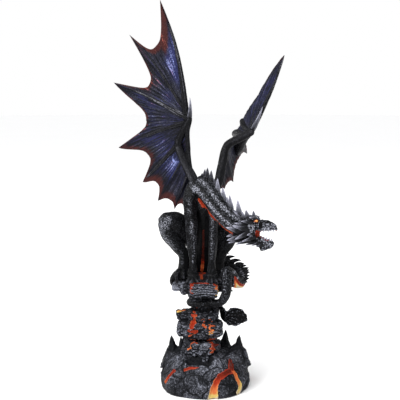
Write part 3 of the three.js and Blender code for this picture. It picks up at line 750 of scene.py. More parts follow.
for stations in [         # the right hind foot's toes, hanging over the edge
    [[-38, 3, 203, 8], [-47, -4, 199, 6], [-53.5, -9, 194, 4.2], [-56, -13, 188.5, 3.2],
     [-55, -15, 183.5, 1.6]],
    [[-38, 2, 202, 8], [-44, -8, 201.5, 6], [-46.5, -14, 197, 4.6], [-46.5, -17, 191, 3.4],
     [-45.5, -17.5, 185, 1.6]],
    [[-36, 2, 202, 8], [-35, -8, 201, 6], [-34.5, -14, 197.5, 4.8], [-34.5, -18.5, 195.6, 3.4]],
    [[-30, 4, 203, 8], [-27, -6, 200, 6], [-25, -12, 196, 4]],
]:
    limbs.append(limb(stations))
body = cast("dragon_trunk", [*limbs, boulder([-45, -4, 193], [11, 11, 9.5], 0.7, 9, 0.03)], 1.12, 3)
points, normals = points_of(body)


def round_line(points, stations, up=(0, 0, 1)):
    """Where points lie beside a line: millimetres along it, degrees round it from the crown
    towards the front, and the distance from it."""
    line, _, _ = smooth_line(np.array([row[:3] for row in stations], float), 6)
    best = np.full(len(points), 1e9)
    place, angle = np.zeros((2, len(points)))
    done = 0.0
    for a, b in zip(line[:-1], line[1:]):
        length = np.linalg.norm(b - a)
        axis = (b - a) / length
        t = np.clip((points - a) @ axis / length, 0, 1)
        off = points - (a + t[:, None] * (b - a))
        far = np.linalg.norm(off, axis=1)
        side = unit(np.cross(axis, up))
        turn = np.degrees(np.arctan2(off @ side, off @ np.cross(side, axis)))
        nearer = far < best
        best = np.where(nearer, far, best)
        place = np.where(nearer, done + t * length, place)
        angle = np.where(nearer, turn, angle)
        done += length
    return place, angle, best


def brightest(points, normals, strokes, reach, full):
    """The brightest of many soft strokes, each [weight, route], at its full weight from `full`."""
    load_and_painted_light = np.zeros(len(points))
    for weight, route in strokes:
        mask, _ = stroke(points, normals, route, reach)
        load_and_painted_light = np.maximum(load_and_painted_light, weight * step_up(mask, 0, full))
    return load_and_painted_light


along, turn, away = round_line(points, neck_line)
round_neck = np.abs(turn)
on_neck = step_up(24 - away, 0, 3) * step_up(along, 2, 12)
bands = on_neck * (bell(round_neck, 90, 13) + bell(round_neck, 34, 11))
grooves = on_neck * (bell(round_neck, 62, 9) + bell(round_neck, 118, 9))
stripe = 17 - 9 * step_up(along, 24, 40) + 8 * step_up(along, 94, 102)
throat = step_up(20.5 - away, 0, 1.5) * bell(round_neck, 168, stripe) * step_up(along, 14, 26)
plates = np.abs(np.sin(np.pi * along / PLATE))
near, _ = pebbles(points, 3.4, 61)
hide = (0.5 * (0.5 - near) + 0.2 * noise(points, 11, 62) + 0.9 * bands - 0.9 * grooves
        + 0.9 * throat * plates - 0.5 * bell(round_neck, 150, 6) * on_neck)
points = points + normals * ((hide - 0.2) * step_up(points[:, 2], 193, 200))[:, None]
on_chunk = np.where(points[:, 1] > CHUNK_FRONT, CHUNK_TOP + GAP, 0)
base = np.where(points[:, 0] > LEDGE_EDGE, LEDGE_TOP + GAP, on_chunk)
points[:, 2] = np.where(points[:, 0] < CHUNK_SIDE, points[:, 2], np.maximum(points[:, 2], base))
set_points(body, points)
points, normals = points_of(body)
# Painted highlights: paler brushing on the right knee and shin, the right shoulder, the fronts of both
# forelegs and the base of the neck.
lights = brightest(points, normals, [
    [0.8, [[-60, -16, 296, 10], [-66, -12, 288, 13], [-72, -8, 276, 10], [-60, -8, 256, 8],
           [-50, -4, 243, 7]]],
    [0.8, [[-38, -6, 238, 7], [-38, -4, 218, 6]]],
    [0.6, [[-28, -20, 330, 6], [-25, -23, 310, 6]]],
    [0.7, [[-20, -30, 296, 4], [-22, -30, 284, 7], [-17, -32, 272, 5], [-16, -33, 250, 4],
           [-19, -34, 226, 3.5]]],
    [0.6, [[12, -27, 300, 5], [14, -29, 288, 6], [13, -31, 268, 4], [13, -34, 246, 4], [12, -35, 224, 3]]],
    [0.5, [[-21, -10, 354, 9], [-12, -18, 346, 8]]]], 12, 0.9)
ember, down_ember = stroke(points, normals, [
    [-1, -4, 276, 0.8], [-1.2, 3, 259, 1.1], [-1.8, 14, 232, 1.3], [-2.1, 20, 215, 2.4],
    [-3.5, 25, 197, 3.0]], 16)
upper_throat, _ = stroke(points, normals, [[-7, -13, 329, 3.6], [0, -19, 320, 5.0], [6, -24, 313, 3.6]], 10)
throat = np.maximum(throat * (0.25 + 0.75 * plates), upper_throat)
x, y, z = points.T
# Painted shade on the chest, between and behind the forelegs.
shade_between_forelegs = step_up(35 - np.abs(x + 2), 0, 16) * step_up(320 - z, 0, 30) * step_up(y, -22, -8)
crown_shade = on_neck * bell(turn, 12, 8) * step_up(70 - along, 0, 12)
piece("dragon_trunk", body, dragon_hide, "dragon_body", {
    "raised": 0.4 * np.clip(stand_out(body, 6, 0.5), -1, 1),
    "load_and_painted_light": (-0.32 + 0.42 * bands * on_neck + 0.8 * lights - 0.12 * grooves + 0.12 * noise(points, 22, 5)
             - 0.6 * shade_between_forelegs + 0.34 * on_neck - 0.2 * crown_shade - 0.25 * step_up(255 - z, 0, 25)),
    "lava": np.maximum(throat, ember) * 0.9,
    "warmth": np.where(throat > ember, 0.12 + 0.15 * np.sin(along),
                       -0.68 + 1.1 * step_up(down_ember, 0.62, 0.85))})

# ---- the head -----------------------------------------------------------------------------------
# A long skull with a hooked beak, jaws open, plates and horns swept back from the cheeks. It is
# modelled in one with the body but drawn finer, and dry-brushed palest of all.
HEAD_Y = -54                  # the head's middle
CHEEK_Y = HEAD_Y + 1          # the middle of what stands on the skull's sides


def carve(mesh, points, normals, relief):
    """Moves points along their normals; gives the mesh's points and normals as they are then."""
    set_points(mesh, points + normals * relief[:, None])
    return points_of(mesh)


made = [
    limb([[50, -47, 287, 10, 15], [60, -50, 286, 12, 17], [70, -52.5, 286.5, 12.5, 17],
          [79, -53.5, 288, 11.5, 15], [87, HEAD_Y, 291.5, 9.6, 11.4], [95, HEAD_Y, 293, 7.8, 8.8],
          [103, HEAD_Y, 293.4, 6.8, 7.6], [109, HEAD_Y, 292, 5.6, 6.6], [114, HEAD_Y, 289.6, 4.2, 5.2],
          [118, HEAD_Y, 286.4, 2.2, 3], [119.8, HEAD_Y, 284.2, 0.9, 1.2]], sides=48,
         profile=lambda t, a: 1 + 0.05 * np.cos(4 * a) * step_up(t, 2, 4)),
    limb([[58, -50.5, 275, 11, 9], [70, -52.5, 272.5, 11, 9], [80, -53.5, 270, 9.5, 8.4],
          [88, HEAD_Y, 268, 8, 8.2], [95, HEAD_Y, 262.6, 6.8, 9.2], [102, HEAD_Y, 260.2, 6, 8.6],
          [108, HEAD_Y, 261.2, 5, 7.2], [113, HEAD_Y, 263, 3, 4], [115.5, HEAD_Y, 264, 1.2, 1.4]], sides=40),
    boulder([97, HEAD_Y, 256.2], [6, 5, 6], 0.6, 4, 0.05),              # chin
    boulder([87, HEAD_Y, 278.5], [4.6, 6.6, 7], 0.8, 5, 0.03),          # corner of the mouth
]
for s in (-1, 1):
    made.append(thorn([78, CHEEK_Y + s * 7, 306], [94, CHEEK_Y + s * 5.6, 304.4], 2.8, flat=0.8,
                      bend=(0, s * 1.5, 1.6)))                          # brow
    made.append(boulder([76, CHEEK_Y + s * 10.6, 291.6], [6, 3.6, 6], 1.0, 5, 0.02))     # jaw hinge
    for up, rows in [     # hinge strap, upper lip, lower lip, jaw ridge; y from the cheek's middle
        [(0, 1, 0), [[76, 11.4, 287, 3.4], [76, 11.6, 280, 3.4], [77, 10.6, 273, 4]]],
        [(0, 0, 1), [[82, 9, 289, 3.2], [92, 7.4, 287.6, 2.8], [103, 5.2, 287, 2.6], [112, 3.2, 287, 1.8]]],
        [(0, 0, 1), [[86, 7.8, 274, 3], [94, 6.6, 270, 2.8], [101, 5.4, 267.2, 2.4], [109, 3.8, 267, 1.8]]],
        [(0, 0, 1), [[84, 7.8, 268, 2.4], [94, 6.4, 262, 2], [103, 5.4, 259, 2]]],
    ]:
        made.append(limb([[x, CHEEK_Y + s * y, z, w] for x, y, z, w in rows], up=up))
head = cast("dragon_head", made, 0.62, 1)
points, normals = points_of(head)
x, y, z = points.T
near, gap = pebbles(points, 3.2, 71)
off_middle = np.abs(y - HEAD_Y)
mouth = step_up(x, 84, 87) * step_up(285 - z, 0, 2) * step_up(z - 268, 0, 3) * (off_middle < 5.6)
eye_hollow = np.exp(-(((x - 85) / 4.6) ** 2 + ((z - 301.8) / 3.2) ** 2) ** 2)
hinge_dish = bell(np.hypot(x - 76.4, z - 292.4), 0, 3) * (off_middle > 8)
pebbled = 0.9 * (0.5 - near) + 0.6 * creased(points, 5, 72, 2) - 0.3 * bell(gap, 0, 0.12)
dishes = (1.9 * eye_hollow + 1.2 * hinge_dish) * (off_middle > 3)
points, normals = carve(head, points, normals, pebbled * (1 - mouth) - dishes)
x, y, z = points.T


def both_sides(strokes):
    """Strokes on the right of the head, and their mirror images on its left."""
    return [[weight, [[x, HEAD_Y + s * y, z, w] for x, y, z, w in route]]
            for weight, route in strokes for s in (-1, 1)]


pale = brightest(points, normals, both_sides([
    [1.0, [[76, 12, 297, 7], [76, 12, 286, 7], [77, 11, 274, 5]]],
    [0.8, [[92, 6, 289, 4], [104, 4, 288.5, 4]]],
    [0.5, [[90, 8, 272, 5], [97, 7, 264, 6], [106, 5, 262, 5]]]]), 9, 0.8)
blood = np.maximum(*[stroke(points, normals, route, 8)[0] for _, route in both_sides([
    [1.0, [[86, 7, 284, 3.6], [87, 7, 279, 3.6]]]])])
dark_spots = step_up(rubble(points, 7, 77, 2), 0.1, 0.5)
beak = step_up(x, 91, 97)
from_hinge = np.hypot(x - 76, z - 292.2)
hinge = step_up(off_middle, 6, 8) * (0.9 * bell(from_hinge, 4.6, 1.4) - bell(from_hinge, 0, 2.2))
# Painted shade darkens the eye hollows and the middle of each jaw-hinge dish, with a paler ring round the
# dish.
piece("dragon_head", head, dragon_hide, "dragon_body", {
    "raised": 1.1 * np.clip(stand_out(head, 10, 0.6), -0.8, 0.8),
    "load_and_painted_light": (-0.05 + 0.7 * pale - 0.9 * eye_hollow - 0.2 * mouth - (0.9 - 0.45 * beak) * dark_spots + hinge
             + 0.4 * beak - 0.6 * step_up(z, 295.5, 299) * beak),
    "lava": np.maximum(mouth * 0.8, blood), "warmth": -0.15 + 0.1 * blood})

# ---- eyes ---------------------------------------------------------------------------------------
# Small domed eyes under the brows, painted yellow running to orange at the rim, with a slit.
EYE = [84.2, 301.8]           # x and z of its middle
EYE_SIZE = [3.8, 2.4, 2.3]    # half its length, thickness and height
eye_paint, tree = material("eye_paint")
ball = mixed(tree, eased(tree, field_of(tree, "rim"), 0.25, 0.8), (0.62, 0.3, 0.05, 1), (0.32, 0.05, 0.02, 1))
ball = mixed(tree, eased(tree, clouds(tree, here(tree), 900.0), 0.4, 0.7, 0, 0.3), ball, (0.9, 0.35, 0.05, 1))
ball = mixed(tree, eased(tree, field_of(tree, "slit"), 0.5, 0.8), ball, (0.01, 0.006, 0.004, 1))
surface(tree, {"Base Color": ball, "Roughness": 0.2, "Coat Weight": 0.3})
mesh, points = joined("eyes", [
    boulder([EYE[0], CHEEK_Y + s * 10.2, EYE[1]], EYE_SIZE, 1.0, 0, 0.0, 20) for s in (-1, 1)])
x, z = points[:, 0] - EYE[0], points[:, 2] - EYE[1]
piece("eyes", mesh, eye_paint, "dragon_body", {
    "rim": np.hypot((x - 0.6) / EYE_SIZE[0], (z - 0.3) / EYE_SIZE[2]), "slit": step_up(x, 2.6, 3.2)})

# ---- crest, frill, claws and teeth --------------------------------------------------------------
# Horn pieces: the blades down the neck, the plates swept back from the cheeks, the claws and the
# small teeth. Dark horn dry-brushed lavender grey, palest along the ridges and near the tips.
horn_paint, tree = material("horn_paint")
brushed = placed(tree, dry_brush, {
    "Dark": (0.008, 0.008, 0.01, 1), "Middle": (0.1, 0.102, 0.125, 1), "Pale": (0.42, 0.42, 0.52, 1),
    "Grain": 620.0, "Speckle": 0.25, "Raised": plus(tree, field_of(tree, "tip"), field_of(tree, "ridge")),
    "Load": plus(tree, field_of(tree, "load_and_painted_light"), -0.2)})
satin(tree, brushed["Color"], eased(tree, brushed["Amount"], 0, 1, 0.36, 0.5), brushed["Height"],
      0.4, 0.0005, 0.1)


def horns(name, thorns, cad_node, load_and_painted_light=0.0, reach=1.0):
    """Thorns as one piece; `tip` runs from 0 at each root to `reach` at its point, and `ridge` is
    above 0 along each ridge."""
    grids = [thorn(**made) for made in thorns]
    mesh, points = joined(name, grids)
    tips, ridge = [], []
    for made, g in zip(thorns, grids):
        rows, around, _ = g.shape
        tips += [np.repeat(np.linspace(0, reach, rows), around), [0, reach]]
        ridge += [np.tile(0.28 * np.cos(made.get("ridges", 0) * round_turn(around)), rows), [0, 0]]
    piece(name, mesh, horn_paint, cad_node, {
        "tip": np.concatenate(tips), "ridge": np.concatenate(ridge), "load_and_painted_light": np.full(len(points), load_and_painted_light)})


def blades(name, load_and_painted_light, reach, rows, **shape):
    """Blades from rows of [root, tip, half width]."""
    horns(name, [dict(root=r, tip=p, radius=w, flat=0.5, ridges=2, depth=-0.12, taper=0.7, waist=0.75,
                      sides=24, steps=16, **shape) for r, p, w in rows],
          "dragon_body", load_and_painted_light, reach)


for name, load_and_painted_light, rows in [
    ["shoulder_spikes", -0.14, [
        [[1.4, 8, 357], [1.6, 8, 378], 6.0], [[6.7, 3, 355], [5.8, 4, 381], 7.0],
        [[13.5, -8, 351], [12, -4, 377.5], 6.6], [[-4, 10, 358], [-3, 10, 371], 5.0],
        [[19, -18, 345], [17, -14, 364.5], 5.4]]],
    ["neck_spikes", 0.4, [
        [[23.6, -25, 340], [22.4, -18, 365.5], 6.0], [[34, -32, 326], [30.7, -26, 351.5], 7.0],
        [[40, -38, 320], [38.2, -34, 337], 4.4], [[45.4, -39, 315], [42.1, -34, 340], 6.2],
        [[58.6, -45, 308], [55.2, -40, 332.5], 6.8], [[65, -48, 304], [63, -45, 314], 4.4]]],
    ["brow_spikes", 0.15, [
        [[72.5, -49.5, 302], [68.7, -46, 317], 6.6], [[83.1, -52.5, 301], [80.7, -50, 316.5], 5.6],
        [[78, -51, 302], [76, -49, 310], 4.0], [[90, -53, 300], [88.4, -53, 308.6], 4.0]]],
]:
    blades(name, load_and_painted_light, 0.8, rows, wide=(0.8, -0.25, -0.3), bend=(-0.6, 1, 0))
frill = [                 # root x, off the middle, z, tip x, off, z, half width
    [68, 8, 296, 47.6, 11, 318, 3.2], [78, 9.5, 298, 59.5, 15, 302.5, 4.0],
    [70, 9, 292, 48.5, 15, 299.5, 4.0], [73, 10, 285, 45, 17.5, 295.5, 6.2],
    [62, 10, 282, 34.8, 15.5, 292.5, 6.0], [62, 10.5, 276, 36.9, 15.5, 270.8, 5.8],
    [74, 11, 283, 49.5, 18.5, 273, 6.0], [64, 10, 270, 39.3, 13, 266.2, 4.2],
    [76, 10.5, 270, 51, 13.5, 263.4, 5.0], [84, 9.5, 275, 61, 16.5, 268.8, 4.2],
    [83, 9, 266, 65.8, 11.5, 261.6, 3.4], [92, 7.5, 265, 76.6, 10, 260.6, 3.4],
    [97, 6.5, 262, 84, 8.5, 257.8, 3.0], [84, 8.4, 303, 73, 11.5, 308, 3.0],
    [82, 9.6, 281, 69, 16, 279.5, 3.6],
]
for name, s in [["head_frill_right", -1], ["head_frill_left", 1]]:
    rows = [[[a, HEAD_Y + s * b, c], [d, HEAD_Y + s * e, f], w] for a, b, c, d, e, f, w in frill]
    blades(name, -0.75, 2.1, rows, wide=(0.1, 0, 1), bend=(0, s * 1.5, 0.8))
claws = []
on_ledge = [[-35, 2, 202], [[-34.5, -17.5, 195.6], [-25, -13, 195.6]], 0, 2.8]
for wrist, tips, _, width in [*feet, on_ledge]:
    for tip in tips:
        way = unit(np.subtract(tip, wrist) * [1, 1, 0])
        claws.append(dict(root=tip - way * 3 + [0, 0, 1.6], tip=tip + way * 5 + [0, 0, -1.6], radius=width,
                          bend=(0, 0, 1.4), sides=12))
for root, tip in [([-56, -13.6, 188.5], [-54.6, -15.5, 180]), ([-46.4, -17.4, 190.5], [-45, -18.6, 182])]:
    claws.append(dict(root=root, tip=tip, radius=2.8, bend=(-0.8, -1.4, 0), sides=12))
horns("claws", claws, "dragon_body", -0.55, 0.5)
teeth = []
for k in range(6):
    x = 92 + k * 4.2
    lip = 271.5 - k * 0.9
    for s in (-1, 1):
        y = HEAD_Y + s * (5.6 - k * 0.55)
        for root, tip, width in [([x, y, 286.5], [x + 0.8, y, 282.4 - 0.5 * (k % 2)], 1.1),
                                 ([x - 2, y, lip], [x - 1.6, y, lip + 3.7], 1.0)]:
            teeth.append(dict(root=root, tip=tip, radius=width, sides=8, steps=6))
horns("teeth", teeth, "dragon_body", 0.4)

# ---- the tail -----------------------------------------------------------------------------------
# From the rump out to the right, round in a loop that shows its ember belly, down past the ledge,
# round the neck of the pillar, and out to a spade leaf. Banded with scutes, combed with fins.
RIB = 7.6                     # from one rib of the loop's flank to the next
TAIL_UP = (0, 0.35, 1)
COIL = 20.8                   # from the pillar's axis to the middle of the coil
coil = [[-4 + COIL * math.cos(math.radians(d)), COIL * math.sin(math.radians(d)), 151 - 1.1 * k,
         6.4 - 0.15 * k] for k, d in enumerate((300, 270, 235, 200, 165, 130, 95))]
tail_line = [
    [2, 44, 214, 15], [20, 57, 211, 13], [37, 62, 202, 12], [51, 57, 192, 11], [60, 43, 186.5, 10.6],
    [64, 24, 183, 10], [62, 7, 180.5, 10], [54, -7, 185, 10], [45, -17, 201, 10], [38, -25, 207, 9.6],
    [37.5, -29, 195, 9.2], [38, -29, 180, 8.6], [36, -28, 166, 8], [27, -26.5, 154, 6.8],
    *coil, [22, 27, 134, 5], [35, 18, 126, 4.4],
]


def scutes(t, a):
    """Overlapping belts: each belt swells by 7 parts in a hundred and drops back at its end."""
    belt = (t * 2.6) % 1
    return 1 + 0.07 * (belt - 0.5) * (1 - step_up(belt, 0.86, 1.0) * 1.6) + 0.02 * np.cos(6 * a)


leaf = limb([[30, 18, 128, 3, 4], [38, 14.5, 119, 3.6, 11.5], [46, 13.2, 117, 4.2, 16],
             [55, 13, 116.5, 4.4, 17.5], [64, 13, 115.5, 3.8, 14.5], [71, 12.6, 113, 2.8, 9],
             [76, 12, 111, 1.2, 3]], sides=64, steps=16,
            profile=lambda t, a: 1 + 0.05 * np.cos(1.1 * np.pi * t) * np.abs(np.sin(a)) ** 3)
tail = cast("dragon_tail", [limb(tail_line, up=TAIL_UP, sides=56, steps=22, profile=scutes), leaf], 0.85, 1)
points, normals = points_of(tail)
x, _, z = points.T
along, turn, _ = round_line(points, tail_line, TAIL_UP)
near, _ = pebbles(points, 3.2, 81)
on_leaf = step_up(x, 33, 38) * step_up(136 - z, 0, 3) * step_up(z, 90, 96)
furrows = np.cos(26 * np.arctan2(z - 121, x - 30)) * on_leaf
flank = bell(turn, -35, 42) * step_up(along, 12, 24) * step_up(112 - along, 0, 8)
ribs = np.cos(2 * np.pi * along / RIB) * flank
relief = 0.4 * (0.5 - near) + 0.3 * noise(points, 8, 82) + 0.55 * furrows + 0.7 * ribs
points, normals = carve(tail, points, normals, relief)
x, _, z = points.T
belly = step_up(np.abs(turn), 104, 118) * step_up(x, 50, 58) * step_up(z, 160, 166) * step_up(205 - z, 0, 8)
studs = np.max([np.exp(-(((points - place) / [wide, 12, 2.2]) ** 2).sum(axis=1)) for place, wide in [
    [(51, -16, 206), 5], [(54, -14, 195), 5.5], [(53, -17, 184), 5]]], axis=0)
# Painted highlight down the strand of the tail that hangs past the ledge.
strand = brightest(points, normals, [
    [1, [[34, -36, 209, 5], [35, -38, 190, 5.5], [34, -37, 176, 4]]]], 9, 0.8)
# Painted light in the brushing: a painted highlight on the leaf's lower part, a painted sheen over the loop's
# flank, whose ribs are also dry-brushed, and painted shade on the coil below the ledge.
piece("dragon_tail", tail, dragon_hide, "dragon_body", {
    "raised": np.clip(stand_out(tail, 10, 0.6), -0.8, 0.9),
    "load_and_painted_light": (-0.38 + 0.5 * on_leaf * step_up(116 - z, 6, 15) + 0.36 * strand + 0.15 * noise(points, 16, 5)
             + 0.42 * flank + 0.55 * np.maximum(ribs, 0) + 1.5 * studs
             - 0.25 * step_up(158 - z, 0, 8) * (1 - on_leaf)),
    "lava": belly * 0.9, "warmth": -0.1 + 2.2 * step_up(np.abs(turn), 122, 142) * belly})

fin_paint = hide_paint("fin_paint", (0.004, 0.0042, 0.005, 1), (0.03, 0.031, 0.035, 1),
                       (0.3, 0.3, 0.34, 1), 500.0, 0.5)
fins = [dict(root=root, tip=tip, radius=width, wide=(0.3, 0, 1), bend=(-1, 0, 2)) for root, tip, width in [
    [[30, 58, 216], [45.4, 60, 220], 4.0], [[39, 60, 209], [56, 62, 213.8], 4.4],
    [[49, 57, 204], [67, 59, 207.6], 4.6], [[57, 53, 198.6], [72.6, 55, 202.4], 4.6],
    [[62.4, 48, 195], [76.2, 49, 200.4], 4.4], [[67.4, 41, 191], [80.2, 42, 198], 4.4],
    [[70, 34, 189], [80.6, 35, 196], 4.0], [[71, 26, 188], [81.2, 27, 194], 4.0],
    [[71, 17, 185], [80, 17, 190], 3.8], [[71, 9, 183], [79, 8, 186.6], 3.6],
    [[68, 2, 181], [76, 1, 182], 3.4],
]]
# Small fins go on down the strand, on its outer side, between two stations of the tail's line.
FIRST, LAST, COUNT = 9.4, 13.2, 9
LIFT = math.radians(66)       # round from the crown
STEPS = 20                    # points in each span of the tail's line
centre, way, s = smooth_line([row[:3] for row in tail_line], STEPS)
radius = np.interp(s, np.arange(len(tail_line)), [row[3] for row in tail_line])
for k in range(COUNT):
    i = int(round((FIRST + (LAST - FIRST) * k / (COUNT - 1)) * STEPS))
    side = unit(np.cross(way[i], TAIL_UP))
    outward = np.cross(side, way[i]) * math.cos(LIFT) + side * math.sin(LIFT)
    length = 5.0 * (0.75 + 0.25 * math.sin(math.pi * (k + 0.6) / COUNT))
    fins.append(dict(root=centre[i] + outward * radius[i] * 0.55,
                     tip=centre[i] + outward * (radius[i] + length) + way[i] * length * 0.7,
                     radius=2.8, wide=way[i], bend=way[i] * -1.2))
RIDGES, SIDES = 5, 20         # of a fin: ribs round it, and points in a ring
grids = [thorn(**fin, flat=0.5, ridges=RIDGES, depth=0.15, taper=0.7, sides=SIDES) for fin in fins]
mesh, _ = joined("tail_comb", grids)
ribs = np.tile([*np.tile(np.cos(RIDGES * round_turn(SIDES)), len(grids[0])), 0, 0], len(grids))
piece("tail_comb", mesh, fin_paint, "dragon_body", {
    "raised": 0.45 * ribs, "load_and_painted_light": -0.05 + 0 * ribs, "lava": 0 * ribs, "warmth": 0 * ribs})

# ---- the wings ----------------------------------------------------------------------------------
# Two plug-in castings: thin membranes stretched between long finger bones, scalloped at the
# trailing edge. Blue-violet paint with broad patches of painted sheen is brightest on the folds, and rust red
# bleeds in from the edges.
MEMBRANE = 2.6                # thickness
BILLOW = 6                    # depth of a panel's belly
COLUMNS, ROWS = 26, 84        # of the grid in one panel
stretched, tree = material("membrane_paint")
drifts = clouds(tree, here(tree), 70.0, 5.0, 0.65)
rays = node(tree, "ShaderNodeCombineXYZ", {"X": field_of(tree, "across"), "Y": field_of(tree, "outward")})
lines = swing(tree, clouds(tree, rays.outputs[0], 1.0, 4.0, 0.6), 3.2)
uneven = plus(tree, swing(tree, drifts, 1.1), lines)
brushed = placed(tree, dry_brush, {
    "Dark": (0.006, 0.0062, 0.009, 1), "Middle": (0.028, 0.029, 0.045, 1), "Pale": (0.15, 0.16, 0.21, 1),
    "Raised": field_of(tree, "raised"), "Load": times(tree, lines, 0.8, field_of(tree, "load_and_painted_light")),
    "Grain": 380.0, "Speckle": 0.3})
colour = brushed["Color"]
# Blue paint, brightened in broad patches into a painted sheen, and rust paint, each mixed in by its field.
for field, start, low, high, dull, bright in [
    ["blue_and_sheen", 0.15, 0.0, 0.8, (0.02, 0.023, 0.085, 1), (0.29, 0.34, 0.66, 1)],
    ["rust", 0.3, -0.1, 0.9, (0.035, 0.01, 0.01, 1), (0.5, 0.13, 0.1, 1)],
]:
    paint = mixed(tree, eased(tree, brushed["Amount"], low, high), dull, bright)
    colour = mixed(tree, eased(tree, plus(tree, field_of(tree, field), uneven), start, 1.1), colour, paint)
satin(tree, colour, eased(tree, drifts, 0.3, 0.7, 0.3, 0.46), plus(tree, brushed["Height"], drifts),
      0.5, 0.0006, 0.07)
bone_paint = hide_paint("bone_paint", (0.006, 0.006, 0.007, 1), (0.035, 0.035, 0.041, 1),
                        (0.26, 0.26, 0.3, 1), 520.0, 0.35)


def between(a, b, t):
    """From a to b as t goes from 0 to 1."""
    return a * (1 - t) + b * t


def bowed(bow, s):
    """How far a finger leaves its straight line: bow * sin(pi * s)."""
    return np.asarray(bow, float) * np.sin(np.pi * s)[:, None]


def finger_line(inner, tip, bow, s):
    """A finger's line, from its start to its tip."""
    return inner + (tip - inner) * s[:, None] + bowed(bow, s)


def membrane(wing, away):
    """The membrane as a grid of rays: column f between two fingers, row s from the inner edge out.
    The outer edge is cut back from the line between the tips by depth * (1 - |2 f**skew - 1|**3),
    towards the wrist or the panel's own inner edge; the panel bellies by BILLOW * sin(pi f) *
    sin(pi s); pleats stand out as cos(2 pi n f). Gives the grid of middles and the fields f, s,
    panel and relief of the pleats."""
    hub, inner, tips = (np.array(wing[key], float) for key in ("hub", "inner", "tips"))
    s = np.linspace(0, 1, ROWS) ** 0.9
    sheet, fields = [], []
    for i in range(len(tips) - 1):
        depth, low_place, own = wing["scallops"][i]
        skew = math.log(0.5) / math.log(low_place)
        f = np.linspace(0, 1, COLUMNS, endpoint=i == len(tips) - 2)[:, None]
        dip = 1 - depth * (1 - np.abs(2 * f**skew - 1) ** 3)
        a, b = tips[i] - hub, tips[i + 1] - hub
        start = between(inner[i], inner[i + 1], f)
        far = between(np.linalg.norm(a), np.linalg.norm(b), f)
        wrist_edge = hub + unit(between(unit(a), unit(b), f)) * far * dip
        own_edge = start + (between(tips[i], tips[i + 1], f) - start) * dip
        end = between(wrist_edge, own_edge, own)
        straight = start[:, None] + (end - start)[:, None] * s[:, None]
        ease = 0.35 * (1 - s)[:, None]
        f3 = f[:, None]
        first, second = (finger_line(inner[j], tips[j], wing["bows"][j], s) for j in (i, i + 1))
        body = between(straight, between(first, second, f3), ease)
        for beside, j in ((0, i), (1, i + 1)):
            body = body + (1 - ease) * bell(f3, beside, 0.13) * bowed(wing["bows"][j], s)
        number, height = wing["pleats"][i]
        fade = np.sin(np.pi * f) ** 0.6 * step_up(s, 0.3, 0.62) * (1 - 0.35 * step_up(s, 0.9, 1.0))
        relief = height * np.cos(2 * np.pi * number * f + 0.6 * np.sin(5 * s)) * fade
        billow = BILLOW * np.sin(np.pi * f) * np.sin(np.pi * s)
        sheet.append(body + (billow - relief)[..., None] * away)
        fields.append(np.stack(np.broadcast_arrays(f, s, i + 0 * f, relief)))
    return np.concatenate(sheet), np.concatenate(fields, axis=1)


def bones_of(wing, away):
    """The closed shells of a wing's fingers, arm and knuckles. Each finger is an oval thinned by
    (1 - s) ** 0.75 along its line; the first lies just inside the membrane's edge."""
    s = np.linspace(0, 1, 12)
    thin = (1 - s) ** 0.75
    shells = []
    for i, (inner, tip, bow, (wide, high, start)) in enumerate(zip(*(
            wing[key] for key in ("inner", "tips", "bows", "bones")))):
        if wide == 0:
            continue
        root, tip = np.array(wing["roots"].get(i, inner), float), np.array(tip, float)
        line = finger_line(root, tip, bow, s)
        if i == 0:
            way = unit(tip - root)
            towards = wing["tips"][1] - tip
            inward = unit(towards - way * np.dot(towards, way))
            line = line + inward * (0.95 * wide * np.maximum(thin, 0.02) * (1 - 0.35 * s))[:, None]
        rows = np.column_stack([line, np.maximum(wide * thin, 0.5), np.maximum(high * thin, 0.5)])
        shells.append(limb(rows[s >= start], up=away, sides=28, steps=6, profile=cords(6, 0.1)))
    shells.append(limb(wing["arm"], up=away, sides=32, steps=10, profile=cords(5, 0.06, 0.3)))
    return shells + [limb(extra, up=away, sides=28, steps=10) for extra in wing["extras"]]


